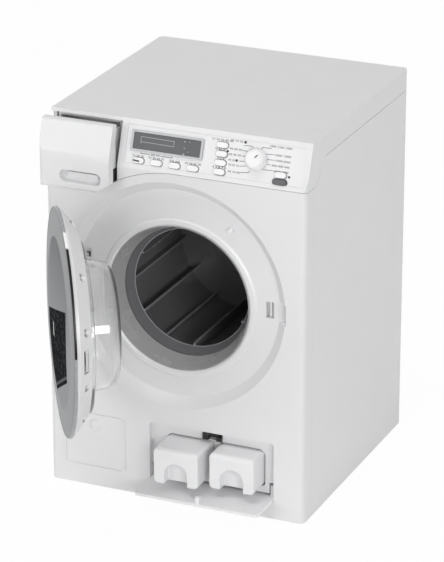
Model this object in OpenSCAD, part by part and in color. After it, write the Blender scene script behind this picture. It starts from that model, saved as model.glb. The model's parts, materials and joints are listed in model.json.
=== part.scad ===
// Toy washing machine, front loader, with a door, a drum, a detergent drawer and a dosing bay.
// Millimetres. X runs to the right, Y to the back, Z up. The origin is on the floor, under the
// middle of the cabinet. Everything stands as it is shown: door, drawer, flap and cartridges open.

/* [Cabinet] */
// Outside width, left to right
body_w = 183; // [178:0.5:200]
// Outside depth, front to back
body_d = 180.4; // [178:0.2:200]
// Height over the top cover
body_h = 260; // [256:0.5:280]
// Wall of the moulded casing parts
wall = 2.4; // [2:0.1:2.8]
// Radius of the cabinet's upright corners
corner_r = 4; // [3:0.25:6]
// How far the front panel turns round each side
wrap_d = 12.5; // [11:0.5:18]
// Height of the top cover's flange down the sides
flange_h = 14.5; // [12:0.5:16]
// Fine gap along the seams of the casing
seam = 0.3; // [0.2:0.05:0.5]
// Thickness of the bottom plate
base_t = 2.6; // [2:0.1:3.5]
// Shank radius of the casing screws
screw_r = 1.2; // [1:0.05:1.4]

/* [Console] */
// Lean of the console face from upright, in degrees
tilt = 19.3; // [15:0.1:22]
// Gap between the door recess and the console's lower edge
arch_gap = 5.9; // [5:0.1:7]
// Depth that the label panel is let in
label_in = 1.1; // [0.9:0.05:1.3]
// Thickness of the label panel
label_t = 0.8; // [0.6:0.05:0.85]
// Width of an oval key
key_w = 7.8; // [7:0.1:8.4]
// Height of an oval key
key_h = 3.7; // [3.3:0.1:3.9]
// Width of the dark door key
door_key_w = 9.6; // [9:0.1:10.5]
// Travel of a key
key_travel = 0.9; // [0.6:0.05:1]
// How far a key stands out of the console face
key_out = 1.2; // [1.1:0.05:1.8]
// Clearance round a key
key_gap = 0.2; // [0.15:0.01:0.3]
// Radius of the programme knob
knob_r = 7.3; // [6.5:0.1:7.8]
// Radius of the knob's flat top
knob_top_r = 4.9; // [4:0.1:5.5]
// Height of the knob
knob_h = 5.2; // [4.5:0.1:6.5]
// Radius of the knob's shaft
knob_shaft_r = 2; // [1.6:0.1:2.4]
// Width of the display frame
display_w = 50; // [44:0.5:52]
// Height of the display frame
display_h = 13.8; // [12:0.1:14]

/* [Detergent drawer] */
// Width of the drawer front
drawer_w = 50.5; // [48:0.5:52]
// Height of the drawer front
drawer_h = 44.8; // [42:0.2:47.6]
// Length of the drawer's tray
tray_len = 78; // [66:1:84]
// Wall of the tray and of its housing
tray_t = 1.6; // [1.2:0.1:2]
// Clearance of the tray in its housing
tray_gap = 0.35; // [0.3:0.05:0.5]
// How far the drawer stands open
drawer_out = 10.5; // [6:0.5:14]

/* [Door] */
// From the top of the cabinet down to the door's middle
door_drop = 114.2; // [112:0.2:116]
// Outer radius of the recess round the door
ring_r = 78.3; // [77:0.1:79]
// Depth of that recess
ring_depth = 6.7; // [6.2:0.1:7.2]
// Radius of the loading mouth
mouth_r = 50.2; // [49.6:0.1:50.6]
// How far the mouth lies below the door's middle
mouth_drop = 3; // [2:0.1:3.6]
// Width of the bright lip round the mouth
lip_w = 5.4; // [4.6:0.1:6]
// Radius of the door's outer face
door_r = 74; // [73:0.1:75]
// Radius of the door's white body at its back
door_back_r = 62; // [61:0.1:63.5]
// Thickness of the door's white body with its trim
door_t = 12.4; // [11.6:0.1:12.8]
// How far the closed door stands out of the front panel
door_proud = 12.2; // [12:0.1:13]
// Radius of the tinted outer window
window_r = 55; // [53:0.1:56]
// Radius of the clear dome
dome_r = 42.5; // [40:0.1:42.8]
// How far the dome stands behind its flange
dome_deep = 20; // [15:0.1:20.5]
// Thickness of the dome's flange
dome_flange_t = 3; // [2.4:0.1:3.2]
// Angle at which the door stands open, in degrees
door_open = 56.6; // [45:0.1:62]
// Radius of the hinge pin
pin_r = 1.25; // [1.1:0.05:1.4]
// Running clearance of hinge pins and shafts, on the radius
run_gap = 0.05; // [0.03:0.01:0.08]

/* [Drum] */
// Outer radius of the drum
drum_r = 49.2; // [48:0.1:49.6]
// Wall of the drum
drum_t = 1.8; // [1.4:0.1:2.2]
// Room behind the drum for the gears and the motor
drive_room = 62.4; // [60.4:0.1:70.4]
// Number of ribs inside the drum
rib_n = 12; // [6:2:16]
// Inner radius of the tub
tub_r = 52; // [51.2:0.1:53]
// Radius of the drum's axle
axle_r = 3; // [2.5:0.1:3.5]
// Teeth of the drum gear, a multiple of twelve
gear_teeth = 60; // [60, 72]
// Teeth of the motor pinion
pinion_teeth = 12; // [12]
// Gear module
gear_m = 0.8; // [0.7:0.05:0.8]
// Thickness of the gears
gear_t = 5; // [4:0.1:5.2]
// Radius of the motor
motor_r = 12; // [10:0.1:13]
// Length of the motor
motor_len = 28; // [24:0.5:30]

/* [Dosing bay] */
// Width of the flap's recess
bay_w = 89; // [87:0.5:92]
// Height of the flap's recess
bay_h = 41.9; // [41:0.1:43]
// Depth of the flap's recess
bay_depth = 4.4; // [4.2:0.1:4.8]
// Thickness of the flap
flap_t = 2; // [1.8:0.05:2.1]
// Angle at which the flap lies open, in degrees
flap_open = 90; // [86:0.5:90]
// Width of a cartridge
cart_w = 31.6; // [30:0.2:32.6]
// Height of a cartridge
cart_h = 24.8; // [24:0.1:25]
// Length of a cartridge
cart_len = 56; // [50:1:62]
// How far the left cartridge stands out of its bay
cart_out_left = 24; // [18:0.5:28]
// How far the right cartridge stands out of its bay
cart_out_right = 17.6; // [12:0.5:24]

/* [Battery bay] */
// Radius of a cell
cell_r = 7.1; // [6.9:0.05:7.25]
// Length of a cell
cell_len = 49.5; // [48:0.5:50.5]

/* [Hidden] */
$fn = 96;

// Front face, back face and half the width
yf = -body_d / 2;
yr = body_d / 2;
hw = body_w / 2;
// A cut runs this far past the face that it starts from
over = 1;
base_lip = 0.4;
ledge = 4;
ledge_t = 1.2;
ledge_gap = 0.1;

// Seam between the front panel and the console, with its arch round the door
ring_x = -0.4;
ring_z = body_h - door_drop;
arch_r = ring_r + arch_gap;
console_z = ring_z + arch_r;
flange_z = body_h - flange_h;
console_x = -hw + drawer_w + 1;
fascia_len = (body_h - console_z) / cos(tilt);
setback = (body_h - console_z) * tan(tilt);
top_strip = 2.2;

// Places on the console face: x from the middle, s up the slope
label_x0 = -35.6;
label_x1 = hw - 3.5;
label_s0 = 3.3;
label_s1 = fascia_len - 3.6;
display_x = -7;
display_s = 18.3;
display_t = 1.4;
bezel_w = 1.5;
knob_x = 54.7;
knob_s = 17.1;
row_pitch = 12.67;
option_at = concat(
    [for (i = [0:3]) [-25.6 + i * row_pitch, 5.6]],
    [for (s = [23.1, 17.4, 11.7, 5.9]) [30.8, s]]);
start_at = [72.4, 9.4];
door_key_at = [72.3, 4.9];
key_lip = 0.9;
lip_t = 0.9;
board_t = 1.5;
board_h = wall + 0.2 + lip_t + key_travel + 3.6;
board_x0 = -33;
board_x1 = hw - 7.5;
board_s0 = 2.6;
board_s1 = 25.6;
post_at = [[-31, 15], [22, 15], [42, 5.5], [board_x1 - 2, 22.5]];
post_r = 1.6;
encoder_r = 4.6;
encoder_h = 3.4;

// Drawer
drawer_x0 = -hw;
drawer_x1 = -hw + drawer_w;
drawer_top = body_h - top_strip;
drawer_z = drawer_top - drawer_h;
front_t = 2;
end_depth = 6.6;
web_z = 7;
web_h = 23;
web_step = 0.8;
fold_h = 24;
fold_z = drawer_z + fold_h;
drawer_in = 0.3;
housing_x0 = drawer_x0 + wall + 1.4;
housing_x1 = drawer_x1 - 1.2;
housing_z0 = drawer_z + 6;
housing_z1 = drawer_top - 1.2;
housing_y0 = yf + wrap_d + 1;
tray_x0 = housing_x0 + tray_t + tray_gap;
tray_x1 = housing_x1 - tray_t - tray_gap;
tray_z0 = housing_z0 + tray_t + tray_gap;
tray_z1 = housing_z1 - tray_t - 3;
housing_len = tray_len + 6;
handle_w = 29.5;
handle_h = 8.4;
handle_in = 4.2;
handle_x = drawer_x0 + 30;
handle_z = drawer_z + 9.4;

// Door. Depths count back from the front face.
mouth_x = 0.5;
mouth_z = ring_z - mouth_drop;
floor_r = ring_r - ring_depth;
lip_depth = door_t - door_proud + dome_flange_t + 0.8;
annulus_in = 5;
mouth_wall = 8.6;
door_y = yf - door_proud;
trim_t = 1.8;
bore_r = 49;
door_wall = 2.4;
dome_wall = 2;
dome_flange_r = 56;
dome_turn = 5;
screw_angles = [90, 135, 225, 270, 315, 344, 16, 46];
screw_ring_r = door_back_r + 4.2;
hinge_depth = 4.6;
hinge_x = ring_x - 76.2;
hinge_y = yf + hinge_depth;
hinge_zs = [ring_z - 19, ring_z + 19];
arm_h = 5;
arm_t = 3;
arm_foot_w = 2.6;
arm_foot_x = hinge_x + 11.2;
knuckle_r = 2.6;
slot_gap = 0.5;
arm_in = 6;
slot_x0 = hinge_x - 1.4;
slot_x1 = arm_foot_x + arm_foot_w + 0.5;
ear_t = 3;
ear_gap = 0.4;
bracket_t = 2;
bracket_y = hinge_y + 4;
bracket_x0 = hinge_x - 2;
bracket_x1 = hinge_x + 2.6;
bracket_end = 5;
ear_r = pin_r + 0.45;
ear_zs = [for (z = hinge_zs) for (k = [-1, 1]) z + k * (arm_h / 2 + ear_gap + ear_t / 2)];
boss_reach = 31;
boss_x = hinge_x + 0.6;
boss_r = 2.6;
stake_r = 1.3;
contact_r = 62.8;
contact_angle = 53;
contact_x = ring_x + contact_r * cos(contact_angle);
contact_z = ring_z + contact_r * sin(contact_angle);
contact_pin_r = 1.8;
contact_tip = 2.6;
contact_travel = 2;
contact_collar = 9.4;
latch_r = 64.9;
latch_x = ring_x + latch_r;
latch_z = ring_z - 1;
latch_w = 5.4;
latch_h = 11.2;

// Drum
drum_back = body_d - drive_room;
tub_screw_r = 60;
collar_front = lip_depth + 0.9;
collar_back = 18.6;
collar_r = 56.4;
drum_front = 19.6;
drum_lip_r = 44.3;
drum_neck_r = 41.2;
drum_neck_depth = 26.8;
rib_t = 1.4;
rib_low = 4.2;
rib_high = 8.2;
back_t = 2.4;
hub_r = 24;
hub_h = 3;
tub_t = 2.2;
tub_flange_r = 62.6;
tub_flange_t = 2;
tub_front = 10.6;
tub_back = drum_back + 5;
bush_r = 6;
bush_len = tub_t + 5;
gear_front = tub_back + bush_len - tub_t + 0.4;
gear_drop = gear_m * (gear_teeth + pinion_teeth) / 2 + 0.1;
pinion_z = mouth_z - gear_drop;
bracket_depth = gear_front + gear_t + 2;
motor_plate_t = 2.4;
motor_front = bracket_depth + motor_plate_t;
motor_shaft_r = 1;
bracket_post_x = 34;
bracket_post_z = mouth_z - gear_drop;
bracket_post_r = 4;
axle_back = gear_front + gear_t + 1.6;
clip_t = 0.8;

// Dosing bay
bay_x = 25.75;
bay_z1 = 54;
bay_z0 = bay_z1 - bay_h;
flap_arm = 5.3;
flap_axis_z = bay_z0 + flap_arm + flap_t + 0.3;
flap_axis_y = yf + flap_t + flap_arm;
flap_gap = 0.4;
flap_pin_r = 1.1;
flap_lip = 6.9;
arm_w = 3.7;
sill_z = 16.2;
cart_x_left = -7;
cart_x_right = 30;
opening_x0 = cart_x_left - 1;
opening_x1 = cart_x_right + cart_w + 1;
opening_z0 = 20.6;
opening_z1 = opening_z0 + cart_h + 1.4;
opening_r = 5;
housing_t = 1.6;
cart_gap = 0.35;
cart_z0 = opening_z0 + 0.4;
cart_round = 2.5;
cart_wall = 1.6;
cart_turn = 3;
scoop_r = 8;
scoop_z = 7;
scoop_d = 7;
bay_back = cart_len + 8;
catch_w = 13.6;
catch_x = bay_x - 0.55;
peg_x = bay_x + 0.7;
peg_r = 1.6;

// Battery bay
cell_pitch = 2 * cell_r + 0.8;
box_t = 1.6;
box_w = cell_len + 7;
box_h = 3 * cell_pitch + 7;
box_z0 = 14;
box_deep = 2 * cell_r + 3.4;
cover_screw_z = box_z0 + box_h - 3.2;
cover_gap = 0.3;

// Rectangle with true arcs at its corners, centred
module rounded(w, h, r) {
    square([w - 2 * r, h], center = true);
    square([w, h - 2 * r], center = true);
    for (x = [-1, 1], y = [-1, 1]) translate([x * (w / 2 - r), y * (h / 2 - r)]) circle(r);
}

// Bar with half-round ends, centred
module stadium(w, h) {
    square([w - h, h], center = true);
    for (x = [-1, 1]) translate([x * (w - h) / 2, 0]) circle(h / 2);
}

// Outline of the cabinet seen from above, drawn in by i
module plan(i = 0) {
    rounded(body_w - 2 * i, body_d - 2 * i, max(corner_r - i, 0.8));
}

// A shape drawn in X and Z, from y0 back to y1
module upright(y0, y1) {
    translate([0, y1, 0]) rotate([90, 0, 0]) linear_extrude(y1 - y0) children();
}

// A shape drawn in Y and Z, from x0 right to x1
module sideways(x0, x1) {
    translate([x0, 0, 0]) rotate([90, 0, 90]) linear_extrude(x1 - x0) children();
}

// A profile of radius and depth, turned about an axis that runs front to back
module turned(x, z, y = yf) {
    translate([x, y, z]) rotate([-90, 0, 0]) rotate_extrude() children();
}

// A round bar that runs front to back, from depth d0 to d1
module bar(x, z, r, d0, d1, fn = 48) {
    translate([x, yf + d0, z]) rotate([-90, 0, 0]) cylinder(r = r, h = d1 - d0, $fn = fn);
}

// Children stand on the console face: x across, y up the slope, z out of it
module on_console() {
    translate([0, yf, console_z]) rotate([90 - tilt, 0, 0]) children();
}

// Everything above the seam of the front panel, raised by g
module upper_zone(g = 0) {
    difference() {
        union() {
            translate([-hw - over, drawer_z + g]) square([hw + over + ring_x, body_h]);
            translate([ring_x, console_z + g]) square([hw + over, body_h]);
        }
        translate([ring_x, ring_z]) circle(arch_r + g, $fn = 192);
    }
}

// Lower edge of the top cover seen from the side: level, then a curve down to the console seam
crease_n = 8;
crease_run = wrap_d + 20.5;
crease = [for (i = [0:crease_n]) let (t = i / crease_n)
    [yf + wrap_d + t * (crease_run - wrap_d), console_z + (flange_z - console_z) * pow(t, 1.35)]];
module under_cover(g = 0) {
    translate([0, -g]) polygon(concat([[yf - over, -over], [yf - over, console_z]], crease,
        [[yr + over, flange_z], [yr + over, -over]]));
}

// Casing
module corner_boss(x, y, z0, z1) {
    difference() {
        translate([x, y, z0]) cylinder(r = screw_r + 2.2, h = z1 - z0, $fn = 32);
        translate([x, y, z0 - over]) cylinder(r = screw_r, h = z1 - z0, $fn = 32);
    }
}

boss_in = 8.5;
boss_front = [for (x = [-1, 1]) [x * (hw - boss_in), yf + boss_in]];
boss_rear = [for (x = [-1, 1]) [x * (hw - boss_in), yr - boss_in]];
boss_top = 16;

module hinge_slots() {
    for (z = hinge_zs) translate([slot_x0, yf - over, z - arm_h / 2 - slot_gap])
        cube([slot_x1 - slot_x0, 12, arm_h + 2 * slot_gap]);
    for (z = hinge_zs) translate([hinge_x, hinge_y, z - arm_h / 2 - slot_gap])
        cylinder(r = knuckle_r + 0.3, h = arm_h + 2 * slot_gap, $fn = 48);
    // Pockets behind the ring for the ears and their pins
    for (z = ear_zs) translate([hinge_x, hinge_y, z - ear_t / 2 - 0.2]) {
        cylinder(r = ear_r + 0.1, h = ear_t + 0.4, $fn = 48);
        translate([-ear_r - 0.1, 0, 0]) cube([2 * ear_r + 0.2, 8, ear_t + 0.4]);
    }
}

module front_panel() {
    color("whitesmoke") difference() {
        union() {
            difference() {
                translate([0, 0, base_lip]) linear_extrude(console_z - base_lip) difference() {
                    intersection() {
                        plan();
                        translate([-hw - over, yf - over]) square([body_w + 2 * over, wrap_d + over]);
                    }
                    plan(wall);
                }
                upright(yf - over, yr) upper_zone(-seam / 2);
                bar(ring_x, ring_z, ring_r - 0.01, -over, wall + over, 192);
            }
            turned(ring_x, ring_z) polygon([
                [ring_r - 0.3, 0], [ring_r + 0.6, 0], [ring_r + 0.6, wall], [floor_r + 1, ring_depth + wall],
                [mouth_r - 2, annulus_in + wall], [mouth_r - 2, annulus_in], [floor_r, ring_depth]]);
            turned(mouth_x, mouth_z) polygon([
                [mouth_r, lip_depth + 1], [mouth_r + 1.4, lip_depth], [mouth_r + lip_w - 1.6,
                    lip_depth + 0.3],
                [mouth_r + lip_w, annulus_in + 0.6], [mouth_r + lip_w, annulus_in + 1.4],
                [mouth_r + 1.8, mouth_wall], [mouth_r, mouth_wall]]);
            // Walls round the flap's recess and its floor
            upright(yf + 0.2, yf + bay_depth + wall) difference() {
                translate([bay_x, bay_z0 + bay_h / 2]) rounded(bay_w + 2 * wall, bay_h + 2 * wall, 4.2);
                bay_outline();
            }
            upright(yf + bay_depth, yf + bay_depth + wall) difference() {
                translate([bay_x, bay_z0 + bay_h / 2]) rounded(bay_w + 1, bay_h + 1, 2);
                bay_opening();
            }
            // Bearings for the flap's pins
            for (x = [-1, 1]) translate([bay_x + x * (bay_w / 2 + 1.6) - 1.6, yf + 1, flap_axis_z - 4])
                cube([3.2, flap_axis_y - yf + 2.4, 8]);
            hatch_relief();
            notch_floor();
            for (a = [45:90:315])
                bar(mouth_x + tub_screw_r * cos(a), mouth_z + tub_screw_r * sin(a), 3.2, 7, tub_front, 32);
            for (z = [ring_z - boss_reach, ring_z + boss_reach])
                bar(boss_x, z, boss_r, 1, bracket_y - yf, 32);
            for (z = [ring_z - boss_reach, ring_z + boss_reach])
                bar(boss_x, z, stake_r, 2, bracket_y - yf + bracket_t + 0.6, 32);
            for (p = boss_front) corner_boss(p[0], p[1], base_t + 0.1, boss_top);
            for (p = boss_front) translate([p[0] - 1, yf + 1, base_t + 0.1])
                cube([2, boss_in - screw_r - 1.2, boss_top - base_t - 0.1]);
        }
        upright(yf - over, yf + bay_depth) bay_outline();
        // Room for the flap to turn under the sill and for its two arms
        translate([bay_x - bay_w / 2, yf + wall, bay_z0 - wall - over])
            cube([bay_w, 12, sill_z - bay_z0 + wall + over]);
        for (x = [-1, 1]) translate([bay_x + x * (bay_w - arm_w - 1) / 2 - (arm_w + 1) / 2, yf + wall,
            sill_z - over])
            cube([arm_w + 1, 12, flap_axis_z - sill_z + 5]);
        bar(mouth_x, mouth_z, mouth_r, -over, 14, 192);
        hinge_slots();
        bar(contact_x, contact_z, contact_pin_r + run_gap, -over, 14);
        translate([latch_x - latch_w / 2, yf - over, latch_z - latch_h / 2]) cube([latch_w, 14, latch_h]);
        // Finger notch from the latch slot out to the ring's edge
        translate([latch_x + latch_w / 2 - 0.2, yf - over, latch_z - notch_h / 2])
            cube([ring_r - latch_r - latch_w / 2 + 0.4, notch_depth + over, notch_h]);
        for (a = [45:90:315])
            bar(mouth_x + tub_screw_r * cos(a), mouth_z + tub_screw_r * sin(a), screw_r, 8,
                tub_front + over, 32);
        translate([bay_x - bay_w / 2 - 2.2, flap_axis_y, flap_axis_z]) rotate([0, 90, 0])
            cylinder(r = flap_pin_r + run_gap, h = bay_w + 4.4, $fn = 32);
        catch_slot();
    }
}

// Floor and walls of the finger notch, behind the ring
notch_h = latch_h + 3;
notch_depth = ring_depth - 0.2;
module notch_floor() {
    translate([ring_x, yf, latch_z - notch_h / 2 - 1.6]) linear_extrude(notch_h + 3.2) polygon([
        [floor_r - 1, ring_depth + 1], [ring_r - 0.5, 1.2], [ring_r + 1.5, 1.2],
        [ring_r + 1.5, notch_depth + 1.8], [floor_r - 1, notch_depth + 1.8]]);
}

// Outline of the flap's recess, rounded at the top only
module bay_outline() {
    translate([bay_x, bay_z0 + bay_h / 2]) {
        rounded(bay_w, bay_h, 2);
        translate([0, -bay_h / 4]) square([bay_w, bay_h / 2], center = true);
    }
}

// Opening in the recess for the cartridges
module bay_opening() {
    w = opening_x1 - opening_x0;
    h = opening_z1 - opening_z0;
    translate([opening_x0 + w / 2, opening_z0 + h / 2]) {
        rounded(w, h, opening_r);
        translate([0, -h / 4]) rounded(w, h / 2, 2.4);
    }
}

// Raised bead and boss of the service hatch, moulded in the panel
hatch_x0 = -hw + 10.1;
hatch_x1 = hatch_x0 + 44.9;
hatch_z0 = 13.2;
hatch_z1 = 52.6;
bead = 1.4;
bead_proud = 0.8;
hatch_boss_x = hatch_x0 + 22.8;
hatch_boss_z = hatch_z1 - 8.4;
module hatch_relief() {
    w = hatch_x1 - hatch_x0;
    h = hatch_z1 - hatch_z0;
    upright(yf - bead_proud, yf + 0.5) translate([hatch_x0 + w / 2, hatch_z0 + h / 2]) difference() {
        rounded(w, h, 3.6);
        rounded(w - 2 * bead, h - 2 * bead, 2.4);
    }
    turned(hatch_boss_x, hatch_boss_z) polygon([[0, -1.7], [1.8, -1.55], [3.3, -1.1],
        [4.4, -0.4], [4.8, 0], [4.8, 1], [0, 1]]);
}

module catch_slot() {
    translate([catch_x - catch_w / 2 - 0.1, yf + bay_depth - over, opening_z1 + 0.5])
        cube([catch_w + 0.2, wall + 2 * over, 4.9]);
}

module flap_catch() {
    color("#202020") translate([catch_x, 0, opening_z1 + 0.6]) difference() {
        union() {
            translate([-catch_w / 2, yf + flap_t + 0.3, 0])
                cube([catch_w, bay_depth - flap_t + wall - 0.3, 4.7]);
            translate([-catch_w / 2 - 1, yf + bay_depth + wall, 0.8]) cube([catch_w + 2, 1.4, 3.9]);
        }
        translate([-2.6, yf, -over]) cube([5.7, bay_depth + wall, 3.4 + over]);
        translate([4.2, yf, 3.2]) cube([catch_w, bay_depth, 2.4]);
    }
}

module cabinet_shell() {
    color("gainsboro") difference() {
        union() {
            translate([0, 0, base_lip]) linear_extrude(body_h - base_lip - wall) difference() {
                plan();
                plan(wall);
                translate([-hw - over, yf - over]) square([body_w + 2 * over, wrap_d + seam + over]);
            }
            // Ledge behind the front panel's returns
            for (x = [-1, 1]) translate([x * (hw - wall - ledge_gap - ledge_t / 2), yf + wrap_d, base_t + 12])
                translate([-ledge_t / 2, -ledge, 0]) cube([ledge_t, 2 * ledge, drawer_z - base_t - 20]);
            for (x = [-1, 1]) translate([x * (hw - wall - 0.6), yf + wrap_d + 1.5, base_t + 12])
                translate([-0.7, 0, 0]) cube([1.4, ledge - 1.5, drawer_z - base_t - 20]);
            for (p = boss_rear) corner_boss(p[0], p[1], base_t + 0.1, boss_top);
            for (p = boss_rear) translate([p[0] - 1, p[1] + screw_r + 1.2, base_t + 0.1])
                cube([2, boss_in - screw_r - 2.2, boss_top - base_t - 0.1]);
        }
        sideways(-hw - over, hw + over) difference() {
            translate([yf - over, 0]) square([body_d + 2 * over, body_h + over]);
            under_cover(seam);
        }
        upright(yr - wall - over, yr + over) translate([0, box_z0 + box_h / 2])
            rounded(box_w + 2 * cover_gap, box_h + 2 * cover_gap, 2);
        vents();
    }
}

// Rows of slots in the back, above the battery bay
vent_n = 6;
vent_pitch = 8;
vent_z = body_h - 90;
module vents() {
    for (i = [0:vent_n - 1]) upright(yr - wall - over, yr + over) translate([0, vent_z + i * vent_pitch])
        stadium(70, 3);
}

module console_holes(g = 0) {
    for (p = option_at) translate(p) stadium(key_w + 2 * g, key_h + 2 * g);
    translate(start_at) stadium(key_w + 2 * g, key_h + 2 * g);
    translate(door_key_at) stadium(door_key_w + 2 * g, key_h + 2 * g);
}

module top_cover() {
    color("whitesmoke") difference() {
        union() {
            difference() {
                translate([0, 0, drawer_z]) linear_extrude(body_h - drawer_z) plan();
                // Hollow under the top plate and behind the console
                intersection() {
                    translate([0, 0, drawer_z - over]) linear_extrude(body_h - wall - drawer_z + over)
                        plan(wall);
                    sideways(-hw, hw) polygon([
                        [yf + wall / cos(tilt), console_z], [yf + setback + wall / cos(tilt), body_h],
                        [yr, body_h], [yr, drawer_z - over], [yf + wall, drawer_z - over], [yf + wall,
                            console_z]]);
                }
                sideways(-hw - over, hw + over) polygon([[yf - over, console_z], [yf, console_z],
                    [yf + setback + over * tan(tilt), body_h + over], [yf - over, body_h + over]]);
                // Sides and back below the flange
                difference() {
                    sideways(-hw - over, hw + over) under_cover();
                    translate([console_x, yf - over, drawer_z])
                        cube([hw - wall - console_x, wrap_d, console_z - drawer_z]);
                }
                translate([0, yr - wall - over, drawer_z - over])
                    linear_extrude(flange_z - drawer_z + over)
                        square([body_w + 2, 2 * wall + 2 * over], center = true);
                upright(yf - over, yf + wrap_d) difference() {
                    translate([-hw - over, 0]) square([body_w + 2 * over, body_h / 2 + console_z / 2]);
                    upper_zone(seam / 2);
                }
                // Mouth of the detergent drawer
                upright(yf - over, yf + wrap_d + over) translate([-hw - over, drawer_z - over])
                    square([console_x + hw + over, drawer_top - drawer_z + over]);
            }
            // Left end of the console
            intersection() {
                translate([console_x, yf, drawer_z]) cube([wall, wrap_d, body_h - drawer_z - 0.5]);
                upright(yf - over, yf + wrap_d + over) upper_zone(seam / 2);
                sideways(-hw, hw) polygon([[yf, drawer_z], [yf, console_z], [yf + setback, body_h],
                    [yf + wrap_d + over, body_h], [yf + wrap_d + over, drawer_z]]);
            }
            on_console() for (p = post_at) translate([p[0], p[1], -board_h])
                cylinder(r = post_r, h = board_h - label_in - label_t, $fn = 32);
        }
        on_console() {
            translate([label_x0, label_s0, -label_in]) cube([label_x1 - label_x0, label_s1 - label_s0, 4]);
            translate([0, 0, -wall - over]) linear_extrude(wall + 2 * over) console_holes(key_gap);
            translate([display_x, display_s, -wall - over]) linear_extrude(wall + 2 * over)
                rounded(display_w - 4 * bezel_w, display_h - 4 * bezel_w, 0.6);
            translate([knob_x, knob_s, -wall - over])
                cylinder(r = knob_shaft_r + run_gap, h = wall + 2 * over, $fn = 48);
        }
    }
}

module base_plate() {
    color("lightgray") difference() {
        linear_extrude(base_t) difference() {
            plan(wall + 0.3);
            for (p = concat(boss_front, boss_rear)) translate(p) circle(screw_r + run_gap, $fn = 32);
            for (i = [0:4]) translate([speaker_x, speaker_y + (i - 2) * 4]) stadium(18, 1.6);
        }
        for (p = concat(boss_front, boss_rear)) translate([p[0], p[1], -over])
            cylinder(r = screw_head_r + 0.2, h = 1.4 + over, $fn = 32);
    }
}

screw_head_r = 2.3;
module casing_screws() {
    color("silver") for (p = concat(boss_front, boss_rear)) translate([p[0], p[1], 0.3]) difference() {
        union() {
            cylinder(r = screw_head_r, h = 1.1, $fn = 32);
            cylinder(r = screw_r, h = 11, $fn = 32);
        }
        cross_slot(1.9, -over, 0.7);
    }
}

// Cross-shaped driver slot, cut from z0 up to z1
module cross_slot(w, z0, z1) {
    for (a = [0, 90]) rotate([0, 0, a]) translate([-w / 2, -0.3, z0]) cube([w, 0.6, z1 - z0]);
}

speaker_x = -hw + 36.5;
speaker_y = 0;
module speaker() {
    color("dimgray") translate([speaker_x, speaker_y, base_t]) difference() {
        union() {
            cylinder(r = 14, h = 3);
            translate([0, 0, 3]) cylinder(r1 = 13, r2 = 8, h = 3);
            translate([0, 0, 6]) cylinder(r = 6.5, h = 4);
        }
        translate([0, 0, -over]) cylinder(r = 11, h = 2 + over);
    }
}

// Console
module console_label() {
    color("white") on_console() translate([0, 0, -label_in]) linear_extrude(label_t) difference() {
        translate([(label_x0 + label_x1) / 2, (label_s0 + label_s1) / 2])
            square([label_x1 - label_x0 - 0.2, label_s1 - label_s0 - 0.2], center = true);
        console_holes(key_gap);
        translate([display_x, display_s]) rounded(display_w - 4 * bezel_w, display_h - 4 * bezel_w, 0.6);
        translate([knob_x, knob_s]) circle(knob_shaft_r + run_gap, $fn = 48);
    }
}

module display_bezel() {
    color("silver") on_console() translate([display_x, display_s, label_t - label_in])
        linear_extrude(display_t) difference() {
        rounded(display_w, display_h, 0.9);
        rounded(display_w - 2 * bezel_w, display_h - 2 * bezel_w, 0.4);
    }
}

module display_window() {
    color("dimgray") on_console() translate([display_x, display_s, label_t - label_in])
        linear_extrude(display_t - 0.6) rounded(display_w - 2 * bezel_w, display_h - 2 * bezel_w, 0.4);
}

// Key with its retaining lip behind the console wall and a stem down to the switch
module key(w) {
    translate([0, 0, -wall]) linear_extrude(wall + key_out - 0.3) stadium(w, key_h);
    translate([0, 0, key_out - 0.3]) linear_extrude(0.3) stadium(w - 0.6, key_h - 0.6);
    translate([0, 0, -wall - 0.15 - lip_t]) linear_extrude(lip_t) stadium(w + 2 * key_lip, key_h);
    translate([0, 0, -wall - 0.2]) linear_extrude(0.2) stadium(w, key_h);
}

module option_key(i) {
    color("white") on_console() translate(option_at[i - 1]) key(key_w);
}

module start_key() {
    color("white") on_console() translate(start_at) key(key_w);
}

module door_key() {
    color("dimgray") on_console() translate(door_key_at) key(door_key_w);
}

module program_knob() {
    color("whitesmoke") on_console() translate([knob_x, knob_s, 0]) {
        difference() {
            union() {
                translate([0, 0, 0.1]) cylinder(r = knob_r, h = 1.4);
                translate([0, 0, 1.5]) cylinder(r1 = knob_r, r2 = knob_top_r + 0.9, h = knob_h - 2.3);
                translate([0, 0, knob_h - 0.8]) cylinder(r = knob_top_r, h = 0.8);
            }
            rotate([0, 0, 50]) translate([1.2, -0.35, knob_h - 0.4]) cube([2.6, 0.7, 1]);
        }
        translate([0, 0, -board_h + 0.6]) cylinder(r = knob_shaft_r, h = board_h, $fn = 48);
    }
}

// Board behind the console, with a rubber switch under each key and the knob's encoder
module control_board() {
    color("darkgreen") on_console() difference() {
        union() {
            translate([board_x0, board_s0, -board_h - board_t + 0.6]) difference() {
                cube([board_x1 - board_x0, board_s1 - board_s0, board_t]);
                for (p = post_at) translate([p[0] - board_x0, p[1] - board_s0, -over])
                    cylinder(r = post_r, h = board_t + 2 * over, $fn = 32);
            }
            for (p = concat(option_at, [start_at, door_key_at])) translate([p[0], p[1], -board_h + 0.6])
                cylinder(r = 1.6, h = board_h - 0.6 - wall - 0.15 - lip_t - key_travel - 0.1, $fn = 24);
            translate([knob_x, knob_s, -board_h + 0.6]) cylinder(r = encoder_r, h = encoder_h, $fn = 48);
        }
        translate([knob_x, knob_s, -board_h - board_t]) cylinder(r = knob_shaft_r + run_gap, h = 8, $fn = 48);
    }
}

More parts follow.
